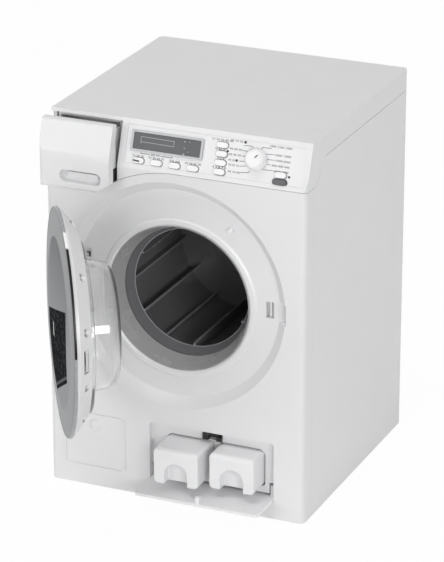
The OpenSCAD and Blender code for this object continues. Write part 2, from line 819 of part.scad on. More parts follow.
// Detergent drawer
module drawer_side() {
    polygon([
        [yf + drawer_in, drawer_z + 1.6], [yf + drawer_in + 1.4, drawer_z],
        [yf + wrap_d, drawer_z], [yf + wrap_d, drawer_top - 0.3],
        [yf + 8.4, drawer_top - 0.3], [yf + 7.2, drawer_top - 1],
        [yf + 0.9, fold_z + 2.2], [yf + 0.1, fold_z - 1], [yf, fold_z - 4], [yf, drawer_z + 4]]);
}

module drawer_front() {
    color("whitesmoke") translate([0, -drawer_out, 0]) difference() {
        intersection() {
            sideways(drawer_x0, drawer_x1) drawer_side();
            linear_extrude(body_h) plan();
            upright(yf - over, yf + wrap_d + over) upper_zone(seam);
        }
        // Hollow behind the face
        intersection() {
            translate([drawer_x0 + front_t, yf, drawer_z])
                cube([drawer_w - 2 * front_t, wrap_d + over, body_h]);
            translate([0, front_t * 1.2, 0]) sideways(drawer_x0, drawer_x1) drawer_side();
            upright(yf - over, yf + wrap_d + over) difference() {
                translate([-hw, drawer_z + front_t]) square([drawer_w, drawer_top - drawer_z - 2 * front_t]);
                translate([ring_x, ring_z]) circle(arch_r + front_t + seam, $fn = 192);
                translate([handle_x, handle_z]) rounded(handle_w + 3.2, handle_h + 3.2, 4);
            }
        }
        upright(yf - over, yf + handle_in) difference() {
            translate([handle_x, handle_z]) stadium(handle_w, handle_h);
            translate([handle_x + 1.2, handle_z + 1.1]) stadium(handle_w - 7, 3.2);
        }
        upright(yf - over, yf + 1.6) translate([handle_x, handle_z]) stadium(handle_w, handle_h);
        // Right end: a short return, then a thinner web at mid height
        difference() {
            translate([0, end_depth, 0]) sideways(drawer_x1 - front_t - over, drawer_x1 + over) drawer_side();
            translate([drawer_x1 - front_t - 2 * over, yf, drawer_z + web_z])
                cube([front_t - web_step + 2 * over, wrap_d + end_depth + over, web_h]);
        }
    }
}

module drawer_tray() {
    y0 = yf + wrap_d - drawer_out;
    color("white") difference() {
        translate([tray_x0, y0, tray_z0]) cube([tray_x1 - tray_x0, tray_len, tray_z1 - tray_z0]);
        cell = (tray_len - 4 * tray_t) / 3;
        for (i = [0:2]) translate([tray_x0 + tray_t, y0 + tray_t + i * (cell + tray_t), tray_z0 + tray_t])
            cube([tray_x1 - tray_x0 - 2 * tray_t, cell, body_h]);
    }
}

module drawer_housing() {
    color("lightgray") difference() {
        union() {
            translate([housing_x0, housing_y0, housing_z0])
                cube([housing_x1 - housing_x0, housing_len, housing_z1 - housing_z0]);
            // Hanging bosses under the top plate
            for (y = [12, tray_len - 8]) for (x = [housing_x0 + 6, housing_x1 - 6])
                translate([x, housing_y0 + y, housing_z1 - 1])
                    cylinder(r = 3, h = body_h - wall - housing_z1 + 1, $fn = 32);
        }
        translate([housing_x0 + tray_t, housing_y0 - over, housing_z0 + tray_t])
            cube([housing_x1 - housing_x0 - 2 * tray_t, housing_len + over - tray_t,
                housing_z1 - housing_z0 - 2 * tray_t]);
    }
}

// Door, drawn closed and then swung open about its hinge pin
module swung() {
    translate([hinge_x, hinge_y, 0]) rotate([0, 0, -door_open]) translate([-hinge_x, -hinge_y, 0]) children();
}

grip_shift = 7;
grip_angle = 28;
module door_body() {
    slope = (door_r - door_back_r) / (door_t - trim_t - 1);
    color("whitesmoke") swung() difference() {
        turned(ring_x, ring_z, door_y) polygon([
            [door_r - 0.6, trim_t], [door_r, trim_t + 0.6], [door_r, trim_t + 1], [door_back_r, door_t],
            [bore_r, door_t], [bore_r, trim_t], [bore_r + door_wall, trim_t],
            [bore_r + door_wall, door_t - door_wall], [door_back_r - 1, door_t - door_wall],
            [door_r - 3.4, trim_t + 1.2], [door_r - 3.4, trim_t]]);
        // Finger gap behind the trim at the free edge
        translate([0, door_y + trim_t - over, 0]) upright(0, 3.4) difference() {
            translate([ring_x, ring_z]) circle(door_r + 2, $fn = 128);
            translate([ring_x - grip_shift * cos(grip_angle), ring_z - grip_shift * sin(grip_angle)])
                circle(door_r + grip_shift - 2, $fn = 128);
        }
        translate([mouth_x, door_y + door_t - 4, mouth_z]) rotate([-90, 0, 0])
            cylinder(r = bore_r + 0.4, h = 5);
        for (a = screw_angles) door_screw_at(a) {
            cylinder(r = 2.8, h = 12, $fn = 32);
            translate([0, 0, -2.4]) cylinder(r = 1.2, h = 3, $fn = 24);
        }
        // Pockets for the hinge arms
        for (z = hinge_zs) translate([arm_foot_x - 0.05, door_y + arm_in - 0.05, z - arm_h / 2 - 0.05])
            cube([arm_foot_w + 0.1, door_t, arm_h + 0.1]);
        // Catch slot in the free edge
        translate([ring_x + door_back_r + 1.6, door_y + 6.6, ring_z - 8]) cube([8, 3.4, 16]);
    }
}

module door_screw_at(a) {
    translate([ring_x + screw_ring_r * cos(a), door_y + door_t - 5.2, ring_z + screw_ring_r * sin(a)])
        rotate([-90, 0, 0]) children();
}

module door_screws() {
    color("gray") swung() for (a = screw_angles) door_screw_at(a) difference() {
        union() {
            cylinder(r = 2.2, h = 1.2, $fn = 32);
            translate([0, 0, -2]) cylinder(r = 1.15, h = 2.2, $fn = 24);
        }
        cross_slot(2.4, 0.6, 2);
    }
}

module door_trim_ring() {
    color("darkgray") swung() turned(ring_x, ring_z, door_y) polygon([
        [window_r + 0.1, -0.9], [door_r - 4, -0.2], [door_r - 0.6, 0.5], [door_r, 1.1],
        [door_r, trim_t - 0.1], [window_r - 2.4, trim_t - 0.1], [window_r - 2.4,
            trim_t - 1], [window_r + 0.1, trim_t - 1]]);
}

module door_window() {
    color("slategray") swung() turned(ring_x, ring_z, door_y) polygon(concat(
        [[0, 0.7], [0, -2]],
        [for (i = [1:6]) [window_r * i / 6, -2 + 1.1 * pow(i / 6, 2)]],
        [[window_r, 0.7]]));
}

module door_dome() {
    y0 = door_t + 0.05;
    y1 = y0 + dome_flange_t;
    y2 = y1 + dome_deep;
    color("lightcyan") swung() turned(mouth_x, mouth_z, door_y) polygon(concat(
        [[dome_r - dome_wall, y0], [dome_flange_r, y0], [dome_flange_r, y1 - 0.6],
            [dome_flange_r - 0.6, y1], [dome_r, y1]],
        [for (a = [0:15:90]) [dome_r - 1 - dome_turn + dome_turn * cos(a),
            y2 - 1 - dome_turn + dome_turn * sin(a)]],
        [[0, y2], [0, y2 - dome_wall]],
        [for (a = [90:-15:0]) [dome_r - 1 - dome_turn + (dome_turn - dome_wall) * cos(a),
            y2 - 1 - dome_turn + (dome_turn - dome_wall) * sin(a)]]));
}

// Arms fixed to the door's back, with their knuckles round the pin
module door_hinge_arms() {
    foot_y = door_y + arm_in;
    color("whitesmoke") swung() for (z = hinge_zs) translate([0, 0, z - arm_h / 2]) difference() {
        union() {
            translate([arm_foot_x, foot_y, 0]) cube([arm_foot_w, hinge_y + arm_t / 2 - foot_y, arm_h]);
            translate([hinge_x, hinge_y - arm_t / 2, 0])
                cube([arm_foot_x - hinge_x + arm_foot_w, arm_t, arm_h]);
            translate([hinge_x, hinge_y, 0]) cylinder(r = knuckle_r, h = arm_h, $fn = 48);
        }
        translate([hinge_x, hinge_y, -over]) cylinder(r = pin_r + run_gap, h = arm_h + 2 * over, $fn = 48);
    }
}

pin_len = arm_h + 2 * ear_gap + 2 * ear_t;
module hinge_pins() {
    color("silver") for (z = hinge_zs) translate([hinge_x, hinge_y, z - pin_len / 2])
        cylinder(r = pin_r, h = pin_len, $fn = 48);
}

module hinge_bracket() {
    half = boss_reach + bracket_end;
    color("lightgray") difference() {
        union() {
            translate([bracket_x0, bracket_y, ring_z - half])
                cube([bracket_x1 - bracket_x0, bracket_t, 2 * half]);
            for (z = ear_zs) translate([hinge_x - ear_r, hinge_y, z - ear_t / 2])
                cube([2 * ear_r, bracket_y - hinge_y + 0.5, ear_t]);
            for (z = ear_zs) translate([hinge_x, hinge_y, z - ear_t / 2])
                cylinder(r = ear_r, h = ear_t, $fn = 48);
        }
        for (z = ear_zs) translate([hinge_x, hinge_y, z - ear_t / 2 - over])
            cylinder(r = pin_r, h = ear_t + 2 * over, $fn = 48);
        for (z = [ring_z - boss_reach, ring_z + boss_reach]) translate([boss_x, bracket_y - over, z])
            rotate([-90, 0, 0])
            cylinder(r = stake_r + run_gap, h = bracket_t + 2 * over, $fn = 32);
    }
}

// Sprung tongue behind the slot that holds the closed door
module door_latch() {
    color("lightgray") translate([latch_x, yf, latch_z]) {
        translate([-0.6, ring_depth + 1.2, -latch_h / 2 + 0.4]) cube([1.2, 8, latch_h - 0.8]);
        translate([-0.6, ring_depth + wall + 2.4, -latch_h / 2 - 3]) cube([9, 2, latch_h + 6]);
        translate([latch_w / 2 + 1, ring_depth + wall + 0.05, -latch_h / 2 - 3]) cube([3, 3.5, latch_h + 6]);
    }
}

module door_contact_pin() {
    color("white") {
        bar(contact_x, contact_z, contact_pin_r, contact_tip + 0.8, contact_collar + 0.2);
        bar(contact_x, contact_z, contact_pin_r - 0.5, contact_tip, contact_tip + 0.9);
        bar(contact_x, contact_z, contact_pin_r + 1.2, contact_collar, contact_collar + 1.2);
    }
}

module contact_switch() {
    color("dimgray") difference() {
        translate([contact_x - 5, yf + contact_collar - 0.5, contact_z - 5]) cube([10, 6.5, 10]);
        bar(contact_x, contact_z, contact_pin_r + 1.6, contact_collar - over,
            contact_collar + 1.2 + contact_travel + 0.3);
    }
}

// Drum
module door_collar() {
    color("gray") turned(mouth_x, mouth_z) polygon([
        [mouth_r - 0.8, collar_front], [drum_lip_r + 0.3, collar_back], [drum_lip_r + 1.9, collar_back],
        [mouth_r - 1.1, tub_front - 0.2], [collar_r, tub_front - 0.2], [collar_r, mouth_wall + 0.3],
        [mouth_r - 0.25, mouth_wall + 0.3], [mouth_r - 0.25, collar_front]]);
}

module drum_tub() {
    color("gray") difference() {
        union() {
            turned(mouth_x, mouth_z) polygon([
                [tub_r, tub_front], [tub_flange_r, tub_front], [tub_flange_r, tub_front + tub_flange_t],
                [tub_r + tub_t, tub_front + tub_flange_t], [tub_r + tub_t, tub_back], [bush_r + 3, tub_back],
                [bush_r + 2.4, tub_back + 3], [bush_r, tub_back + 3], [bush_r, tub_back - tub_t], [tub_r,
                    tub_back - tub_t]]);
            for (x = [-1, 1]) bar(mouth_x + x * bracket_post_x, bracket_post_z, bracket_post_r,
                tub_back - tub_t, bracket_depth, 32);
        }
        for (a = [45:90:315]) bar(mouth_x + tub_screw_r * cos(a), mouth_z + tub_screw_r * sin(a),
            screw_r + run_gap, 0, 20, 32);
        for (x = [-1, 1]) bar(mouth_x + x * bracket_post_x, bracket_post_z, screw_r, bracket_depth - 8,
            bracket_depth + over, 32);
        // Room in the flange for the door switch
        translate([contact_x - 5.6, yf + tub_front - over, contact_z - 5.6]) cube([12, tub_flange_t + 2, 12]);
    }
}

module tub_screws() {
    color("silver") for (a = [45:90:315])
        translate([mouth_x + tub_screw_r * cos(a), yf + tub_front + tub_flange_t + 1.2,
            mouth_z + tub_screw_r * sin(a)])
        rotate([90, 0, 0]) difference() {
            union() {
                cylinder(r = screw_head_r, h = 1.2, $fn = 32);
                cylinder(r = screw_r, h = 5.4, $fn = 32);
            }
            cross_slot(1.9, -over, 0.6);
        }
}

module drum() {
    inner_r = drum_r - drum_t;
    color("#404040") {
        turned(mouth_x, mouth_z) polygon([
            [drum_lip_r, drum_front], [drum_r, drum_front], [drum_r, drum_back], [9, drum_back],
            [9, drum_back + 2.4], [axle_r, drum_back + 2.4], [axle_r, drum_back - back_t - hub_h - 2],
            [8, drum_back - back_t - hub_h - 2], [9, drum_back - back_t - hub_h],
            [hub_r - 2, drum_back - back_t - hub_h], [hub_r, drum_back - back_t],
            [inner_r, drum_back - back_t], [inner_r, drum_neck_depth + 2], [drum_neck_r, drum_neck_depth]]);
        for (i = [0:rib_n - 1]) {
            high = i % 2 == 0 ? rib_high : rib_low;
            front = drum_neck_depth + (i % 2 == 0 ? 0.6 : 1.2);
            translate([mouth_x, 0, mouth_z]) rotate([0, 28 + i * 360 / rib_n, 0])
                translate([inner_r - high, yf + front, -rib_t / 2])
                cube([high + 0.6, drum_back - back_t + 0.8 - front, rib_t]);
        }
    }
}

module drum_axle() {
    color("silver") difference() {
        bar(mouth_x, mouth_z, axle_r, drum_back - back_t - hub_h - 2, axle_back);
        turned(mouth_x, mouth_z) translate([axle_r - 0.5, gear_front + gear_t + 0.3]) square([2, clip_t]);
    }
}

module axle_bush() {
    color("burlywood") turned(mouth_x, mouth_z) translate([axle_r + run_gap, tub_back - tub_t])
        square([bush_r - axle_r - run_gap, bush_len]);
}

// Outline of a gear with straight-sided teeth, one tooth pointing along +X
module gear_outline(n) {
    pitch_r = gear_m * n / 2;
    root_r = pitch_r - 1.1 * gear_m;
    tip_r = pitch_r + 0.85 * gear_m;
    half_root = 0.78 * gear_m * 180 / PI / root_r;
    half_tip = 0.3 * gear_m * 180 / PI / tip_r;
    polygon([for (i = [0:n - 1]) for (c = [[root_r, -half_root], [tip_r, -half_tip], [tip_r, half_tip],
        [root_r, half_root]])
        c[0] * [cos(i * 360 / n + c[1]), sin(i * 360 / n + c[1])]]);
}

module drum_gear() {
    color("ivory") difference() {
        translate([mouth_x, yf + gear_front + gear_t, mouth_z]) rotate([90, 0, 0]) linear_extrude(gear_t)
            rotate(-90 + 180 / gear_teeth) gear_outline(gear_teeth);
        bar(mouth_x, mouth_z, axle_r, gear_front - over, gear_front + gear_t + over);
        for (a = [30:60:330]) bar(mouth_x + 13.5 * cos(a), mouth_z + 13.5 * sin(a), 4.6, gear_front - over,
            gear_front + gear_t + over);
    }
}

module gear_clip() {
    color("silver") difference() {
        bar(mouth_x, mouth_z, axle_r + 1.8, gear_front + gear_t + 0.3, gear_front + gear_t + 0.3 + clip_t);
        bar(mouth_x, mouth_z, axle_r - 0.5, gear_front + gear_t, gear_front + gear_t + 3);
    }
}

module motor_pinion() {
    color("ivory") {
        translate([mouth_x, yf + gear_front + gear_t, pinion_z]) rotate([90, 0, 0]) linear_extrude(gear_t)
            rotate(90) gear_outline(pinion_teeth);
        bar(mouth_x, pinion_z, motor_shaft_r, gear_front + gear_t - 0.5, motor_front + 8, 32);
    }
}

module motor() {
    color("silver") difference() {
        union() {
            bar(mouth_x, pinion_z, motor_r, motor_front, motor_front + motor_len);
            bar(mouth_x, pinion_z, 3.1, motor_front - 1.6, motor_front + 0.5, 32);
        }
        bar(mouth_x, pinion_z, motor_shaft_r + run_gap, motor_front - 3, motor_front + 8.3, 32);
    }
}

module motor_bracket() {
    color("lightgray") difference() {
        union() {
            upright(yf + bracket_depth, yf + motor_front) translate([mouth_x, pinion_z])
                rounded(2 * bracket_post_x + 12, 20, 4);
            bar(mouth_x, pinion_z, motor_r + 2, bracket_depth, motor_front + 6);
        }
        bar(mouth_x, pinion_z, motor_r, motor_front, motor_front + 8);
        bar(mouth_x, pinion_z, 3.2, bracket_depth - over, motor_front + over, 32);
        for (x = [-1, 1]) bar(mouth_x + x * bracket_post_x, bracket_post_z, screw_r + run_gap,
            bracket_depth - over, motor_front + over, 32);
    }
}

module bracket_screws() {
    color("silver") for (x = [-1, 1]) translate([mouth_x + x * bracket_post_x, yf + motor_front + 1.2,
        bracket_post_z])
        rotate([90, 0, 0]) difference() {
            union() {
                cylinder(r = screw_head_r, h = 1.2, $fn = 32);
                cylinder(r = screw_r, h = 8.4, $fn = 32);
            }
            cross_slot(1.9, -over, 0.6);
        }
}

// Dosing bay
module laid_open() {
    translate([0, flap_axis_y, flap_axis_z]) rotate([flap_open, 0, 0]) children();
}

// Flap drawn upright about its pin, which two arms hold behind its inner face
module dosing_flap() {
    w = bay_w - 2 * flap_gap;
    tall = bay_z1 - flap_axis_z - flap_gap;
    color("whitesmoke") laid_open() {
        intersection() {
            sideways(bay_x - w / 2, bay_x + w / 2) polygon([
                [-flap_arm, -flap_lip], [-flap_arm, tall], [-flap_arm - flap_t + 0.4,
                    tall], [-flap_arm - flap_t, tall - 0.4],
                [-flap_arm - flap_t, -flap_lip + 2.3], [-flap_arm - flap_t + 0.9, -flap_lip + 1.1]]);
            upright(-flap_arm - flap_t - over, 0) translate([bay_x, (tall - flap_lip) / 2]) union() {
                rounded(w, tall + flap_lip, 3.6);
                translate([0, -tall / 4]) rounded(w, tall / 2 + flap_lip, 1);
            }
        }
        for (x = [-1, 1]) translate([bay_x + x * (w - arm_w) / 2 - arm_w / 2, 0, 0]) {
            translate([0, -flap_arm - 0.5, -2.2]) cube([arm_w, flap_arm + 0.5, 4.4]);
            rotate([0, 90, 0]) cylinder(r = 2.2, h = arm_w, $fn = 48);
        }
        translate([bay_x - w / 2 - 2, 0, 0]) rotate([0, 90, 0]) cylinder(r = flap_pin_r, h = 3, $fn = 32);
        translate([bay_x + w / 2 - 1, 0, 0]) rotate([0, 90, 0]) cylinder(r = flap_pin_r, h = 3, $fn = 32);
        // Peg that the catch holds
        translate([peg_x, -flap_arm + 4, tall - peg_r - 1]) rotate([90, 0, 0])
            cylinder(r = peg_r, h = 4.5, $fn = 48);
    }
}

module cartridge(x, out) {
    y0 = yf + bay_depth - out;
    translate([x, y0, cart_z0]) difference() {
        translate([cart_w / 2, 0, cart_h / 2]) upright(0, cart_len) rounded(cart_w, cart_h, cart_round);
        // Rounded top edge at the front
        sideways(-over, cart_w + over) polygon(concat([[-over, cart_h + over], [-over, cart_h - cart_turn]],
            [for (a = [0:15:90]) [cart_turn - cart_turn * cos(a), cart_h - cart_turn + cart_turn * sin(a)]],
            [[cart_turn, cart_h + over]]));
        difference() {
            translate([cart_wall, cart_wall, cart_wall])
                cube([cart_w - 2 * cart_wall, cart_len - 2 * cart_wall, cart_h - 2 * cart_wall]);
            translate([cart_w / 2, 0, scoop_z]) rotate([-90, 0, 0])
                cylinder(r = scoop_r + cart_wall, h = scoop_d + cart_wall);
            translate([cart_w / 2 - scoop_r - cart_wall, 0, 0])
                cube([2 * (scoop_r + cart_wall), scoop_d + cart_wall, scoop_z]);
            sideways(-over, cart_w + over) polygon([[-over, cart_h - cart_turn - 1],
                [0, cart_h - cart_turn - 1], [cart_turn + 1, cart_h], [-over, cart_h]]);
        }
        // Finger scoop, open at the bottom
        translate([cart_w / 2, -over, scoop_z]) rotate([-90, 0, 0]) cylinder(r = scoop_r, h = scoop_d + over);
        translate([cart_w / 2 - scoop_r, -over, -over]) cube([2 * scoop_r, scoop_d + over, scoop_z + over]);
    }
}

module cartridge_left() {
    color("white") cartridge(cart_x_left, cart_out_left);
}

module cartridge_right() {
    color("white") cartridge(cart_x_right, cart_out_right);
}

module cartridge_housing() {
    x0 = cart_x_left - cart_gap;
    x1 = cart_x_right + cart_w + cart_gap;
    z0 = cart_z0 - 0.3;
    z1 = cart_z0 + cart_h + cart_gap;
    y0 = yf + bay_depth + wall;
    color("lightgray") difference() {
        translate([x0 - housing_t, y0, z0 - housing_t])
            cube([x1 - x0 + 2 * housing_t, bay_back, z1 - z0 + 2 * housing_t]);
        for (x = [cart_x_left, cart_x_right]) translate([x - cart_gap, y0 - over, z0])
            cube([cart_w + 2 * cart_gap, bay_back - housing_t + over, z1 - z0]);
    }
    color("lightgray") for (x = [x0 + 6, x1 - 6]) translate([x, y0 + bay_back - 10, base_t])
        cylinder(r = 3, h = z0 - housing_t - base_t, $fn = 32);
}

// Battery bay
module battery_box() {
    y1 = yr - wall;
    color("dimgray") difference() {
        translate([-box_w / 2 - box_t, y1 - box_deep, box_z0 - box_t])
            cube([box_w + 2 * box_t, box_deep, box_h + 2 * box_t]);
        translate([-box_w / 2, y1 - box_deep + box_t, box_z0]) cube([box_w, box_deep, box_h]);
    }
    color("dimgray") difference() {
        translate([-4, y1 - 7, box_z0 + 3 * cell_pitch + 1]) cube([8, 7, box_h - 3 * cell_pitch - 0.5]);
        translate([0, y1 + over, cover_screw_z]) rotate([90, 0, 0]) cylinder(r = screw_r, h = 7, $fn = 32);
    }
}

cell_ys = yr - wall - box_deep + box_t + cell_r + 0.1;
cell_zs = [for (i = [0:2]) box_z0 + 0.6 + cell_pitch / 2 + i * cell_pitch];
module battery_cells() {
    color("goldenrod") for (i = [0:2]) translate([-cell_len / 2, cell_ys, cell_zs[i]]) rotate([0, 90, 0]) {
        cylinder(r = cell_r, h = cell_len - 1.2, $fn = 64);
        translate([0, 0, cell_len - 1.3]) cylinder(r = 2.7, h = 1.3, $fn = 32);
    }
}

module battery_contacts() {
    color("silver") for (z = cell_zs, x = [-1, 1]) translate([x * (box_w / 2 - 0.6), cell_ys, z])
        rotate([0, -90 * x, 0]) {
            translate([-5, -5, 0]) cube([10, 10, 0.5]);
            cylinder(r1 = 4.5, r2 = 2.4, h = (box_w - cell_len) / 2 - 0.9, $fn = 32);
        }
}

module battery_cover() {
    color("gainsboro") difference() {
        union() {
            upright(yr - wall + 0.2, yr) translate([0, box_z0 + box_h / 2]) rounded(box_w, box_h, 2);
            for (i = [0:3]) upright(yr - 0.1, yr + 0.5) translate([0, box_z0 + 10 + i * 4]) stadium(24, 1.4);
        }
        translate([0, yr + over, cover_screw_z]) rotate([90, 0, 0])
            cylinder(r = screw_head_r + 0.2, h = over + 1.3, $fn = 32);
        translate([0, yr + over, cover_screw_z]) rotate([90, 0, 0])
            cylinder(r = screw_r + run_gap, h = 6, $fn = 32);
    }
}

module battery_screw() {
    color("silver") translate([0, yr - 0.1, cover_screw_z]) rotate([90, 0, 0]) difference() {
        union() {
            cylinder(r = screw_head_r, h = 1.2, $fn = 32);
            cylinder(r = screw_r, h = 6.6, $fn = 32);
        }
        cross_slot(1.9, -over, 0.6);
    }
}

front_panel();
cabinet_shell();
top_cover();
base_plate();
casing_screws();
speaker();
console_label();
display_bezel();
display_window();
control_board();
program_knob();
start_key();
door_key();
option_key(1);  // option_key_1
option_key(2);  // option_key_2
option_key(3);  // option_key_3
option_key(4);  // option_key_4
option_key(5);  // option_key_5
option_key(6);  // option_key_6
option_key(7);  // option_key_7
option_key(8);  // option_key_8
drawer_housing();
drawer_front();
drawer_tray();
door_body();
door_trim_ring();
door_window();
door_dome();
door_screws();
door_hinge_arms();
hinge_pins();
hinge_bracket();
door_latch();
door_contact_pin();
contact_switch();
door_collar();
drum_tub();
tub_screws();
drum();
drum_axle();
axle_bush();
drum_gear();
gear_clip();
motor_pinion();
motor();
motor_bracket();
bracket_screws();
dosing_flap();
flap_catch();
cartridge_left();
cartridge_right();
cartridge_housing();
battery_box();
battery_cells();
battery_contacts();
battery_cover();
battery_screw();
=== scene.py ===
# Toy washing machine: softened mouldings, finishes, printed console, light and camera
import json
import math

import bmesh
import bpy
import numpy as np
from mathutils import Matrix, Vector


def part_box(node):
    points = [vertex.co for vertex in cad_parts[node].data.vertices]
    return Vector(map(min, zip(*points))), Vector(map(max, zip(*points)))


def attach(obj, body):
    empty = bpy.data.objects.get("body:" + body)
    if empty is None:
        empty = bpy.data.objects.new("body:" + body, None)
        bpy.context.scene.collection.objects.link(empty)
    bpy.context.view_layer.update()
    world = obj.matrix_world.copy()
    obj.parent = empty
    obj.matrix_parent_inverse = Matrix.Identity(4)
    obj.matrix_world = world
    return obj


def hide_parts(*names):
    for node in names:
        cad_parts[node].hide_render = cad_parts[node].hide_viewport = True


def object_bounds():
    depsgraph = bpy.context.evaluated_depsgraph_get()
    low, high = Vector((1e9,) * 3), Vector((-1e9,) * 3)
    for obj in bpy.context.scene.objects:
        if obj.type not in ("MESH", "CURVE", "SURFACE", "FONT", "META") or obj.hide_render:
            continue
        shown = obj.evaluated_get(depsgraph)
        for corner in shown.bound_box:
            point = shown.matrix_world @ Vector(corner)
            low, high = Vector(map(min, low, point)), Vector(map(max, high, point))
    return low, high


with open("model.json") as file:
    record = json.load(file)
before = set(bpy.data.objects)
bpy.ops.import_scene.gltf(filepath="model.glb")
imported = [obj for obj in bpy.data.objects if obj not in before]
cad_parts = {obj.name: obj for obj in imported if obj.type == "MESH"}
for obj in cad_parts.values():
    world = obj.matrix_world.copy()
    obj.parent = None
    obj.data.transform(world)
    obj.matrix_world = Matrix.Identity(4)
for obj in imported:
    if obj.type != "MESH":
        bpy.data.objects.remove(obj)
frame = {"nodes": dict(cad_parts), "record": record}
cadLow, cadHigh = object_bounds()
nodeSlot = {row["node"]: row["material_slot"] for row in frame["record"]["subparts"]}
bodyOf = {node: body for body, nodes in frame["record"]["behaviour"]["bodies"].items() for node in nodes}
joints = {joint["name"]: joint for joint in frame["record"]["behaviour"]["joints"]}
print("frame loaded:", len(frame["nodes"]), "nodes")

mm = 0.001

# The door: the ways along it and out of it, and how far from its hinge the round pieces are centred
doorOpen = math.radians(joints["door_hinge"]["range_deg"][1])
doorHinge = Vector(joints["door_hinge"]["pos_m"])
doorAlong = Matrix.Rotation(-doorOpen, 3, "Z") @ Vector((1, 0, 0))
doorOut = Matrix.Rotation(-doorOpen, 3, "Z") @ Vector((0, -1, 0))
doorReach = {"ring": 76.2, "dome": 77.1}


# The middle of a round door piece: hinge + reach along the door, at the height of its box's middle
def middleOnDoor(node, reach):
    low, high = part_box(node)
    middle = doorHinge + doorAlong * reach * mm
    middle.z = (low.z + high.z) / 2
    return middle


doorMiddle = middleOnDoor("door_trim_ring", doorReach["ring"])


# Node helpers
def newMaterial(name):
    material = bpy.data.materials.new(name)
    material.use_nodes = True
    tree = material.node_tree
    tree.nodes.clear()
    shader = tree.nodes.new("ShaderNodeBsdfPrincipled")
    output = tree.nodes.new("ShaderNodeOutputMaterial")
    tree.links.new(shader.outputs["BSDF"], output.inputs["Surface"])
    return material, tree, shader


def linear(hexColour):
    parts = [int(hexColour[i:i + 2], 16) / 255 for i in (0, 2, 4)]
    return tuple(c / 12.92 if c <= 0.04045 else ((c + 0.055) / 1.055) ** 2.4 for c in parts) + (1.0,)


# A socket takes a link from another socket, or else a constant value
def feed(tree, socket, value):
    if isinstance(value, bpy.types.NodeSocket):
        tree.links.new(value, socket)
    else:
        socket.default_value = value


def objectNoise(tree, scale, detail=2.0, stretch=(1, 1, 1)):
    place = tree.nodes.new("ShaderNodeTexCoord")
    mapping = tree.nodes.new("ShaderNodeMapping")
    mapping.inputs["Scale"].default_value = stretch
    noise = tree.nodes.new("ShaderNodeTexNoise")
    noise.inputs["Scale"].default_value = scale
    noise.inputs["Detail"].default_value = detail
    tree.links.new(place.outputs["Object"], mapping.inputs["Vector"])
    tree.links.new(mapping.outputs["Vector"], noise.inputs["Vector"])
    return noise.outputs["Fac"]


def ranged(tree, value, low, high, fromLow=0.3, fromHigh=0.7):
    spread = tree.nodes.new("ShaderNodeMapRange")
    spread.inputs["From Min"].default_value = fromLow
    spread.inputs["From Max"].default_value = fromHigh
    spread.inputs["To Min"].default_value = low
    spread.inputs["To Max"].default_value = high
    tree.links.new(value, spread.inputs["Value"])
    return spread.outputs["Result"]


def blended(tree, factor, below, above):
    mix = tree.nodes.new("ShaderNodeMix")
    mix.data_type = "RGBA"
    feed(tree, mix.inputs["A"], below)
    feed(tree, mix.inputs["B"], above)
    tree.links.new(factor, mix.inputs["Factor"])
    return mix.outputs["Result"]


def calculated(tree, operation, first, second):
    result = tree.nodes.new("ShaderNodeMath")
    result.operation = operation
    feed(tree, result.inputs[0], first)
    feed(tree, result.inputs[1], second)
    return result.outputs["Value"]


def mixedShader(tree, factor, first, second):
    mix = tree.nodes.new("ShaderNodeMixShader")
    tree.links.new(factor, mix.inputs["Fac"])
    tree.links.new(first, mix.inputs[1])
    tree.links.new(second, mix.inputs[2])
    return mix.outputs["Shader"]


def bumped(tree, shader, height, strength, distance):
    bump = tree.nodes.new("ShaderNodeBump")
    bump.inputs["Strength"].default_value = strength
    bump.inputs["Distance"].default_value = distance
    tree.links.new(height, bump.inputs["Height"])
    tree.links.new(bump.outputs["Normal"], shader.inputs["Normal"])


# A base colour that runs with the value from a darker share of itself up to itself
def shaded(tree, shader, value, colour, share):
    pale = linear(colour)
    dark = tuple(c * share for c in pale[:3]) + (1.0,)
    feed(tree, shader.inputs["Base Color"], blended(tree, ranged(tree, value, 0, 1), dark, pale))


# Moulded plastic: a little cloudiness in the colour, uneven gloss and a fine grain
def mouldedPlastic(name, look):
    material, tree, shader = newMaterial(name)
    shaded(tree, shader, objectNoise(tree, look["cloudScale"], look["cloudDetail"]), look["colour"],
           look["cloudDepth"])
    gloss = objectNoise(tree, look["glossScale"])
    feed(tree, shader.inputs["Roughness"], ranged(tree, gloss, look["roughness"] - look["smoother"],
                                                  look["roughness"] + look["rougher"]))
    bumped(tree, shader, objectNoise(tree, look["grainScale"]), look["grain"], look["grainDepth"])
    shader.inputs["IOR"].default_value = look["ior"]
    return material


# Drawn or plated metal, with fine lines along one axis
def platedMetal(name, look):
    material, tree, shader = newMaterial(name)
    lines = objectNoise(tree, look["lineScale"], stretch=look["stretch"])
    shaded(tree, shader, lines, look["colour"], look["lineDepth"])
    feed(tree, shader.inputs["Roughness"], ranged(tree, lines, look["roughness"] - look["uneven"],
                                                  look["roughness"] + look["uneven"]))
    bumped(tree, shader, lines, look["bump"], look["bumpDepth"])
    shader.inputs["Metallic"].default_value = look["metallic"]
    return material


# Clear moulding, with faint flow marks
def clearPlastic(name, look):
    material, tree, shader = newMaterial(name)
    flow = objectNoise(tree, look["flowScale"])
    shaded(tree, shader, flow, look["colour"], look["flowDepth"])
    feed(tree, shader.inputs["Roughness"], ranged(tree, flow, look["roughness"],
                                                  look["roughness"] + look["rougher"]))
    bumped(tree, shader, flow, look["bump"], look["bumpDepth"])
    shader.inputs["Transmission Weight"].default_value = look["clear"]
    shader.inputs["IOR"].default_value = look["ior"]
    return material


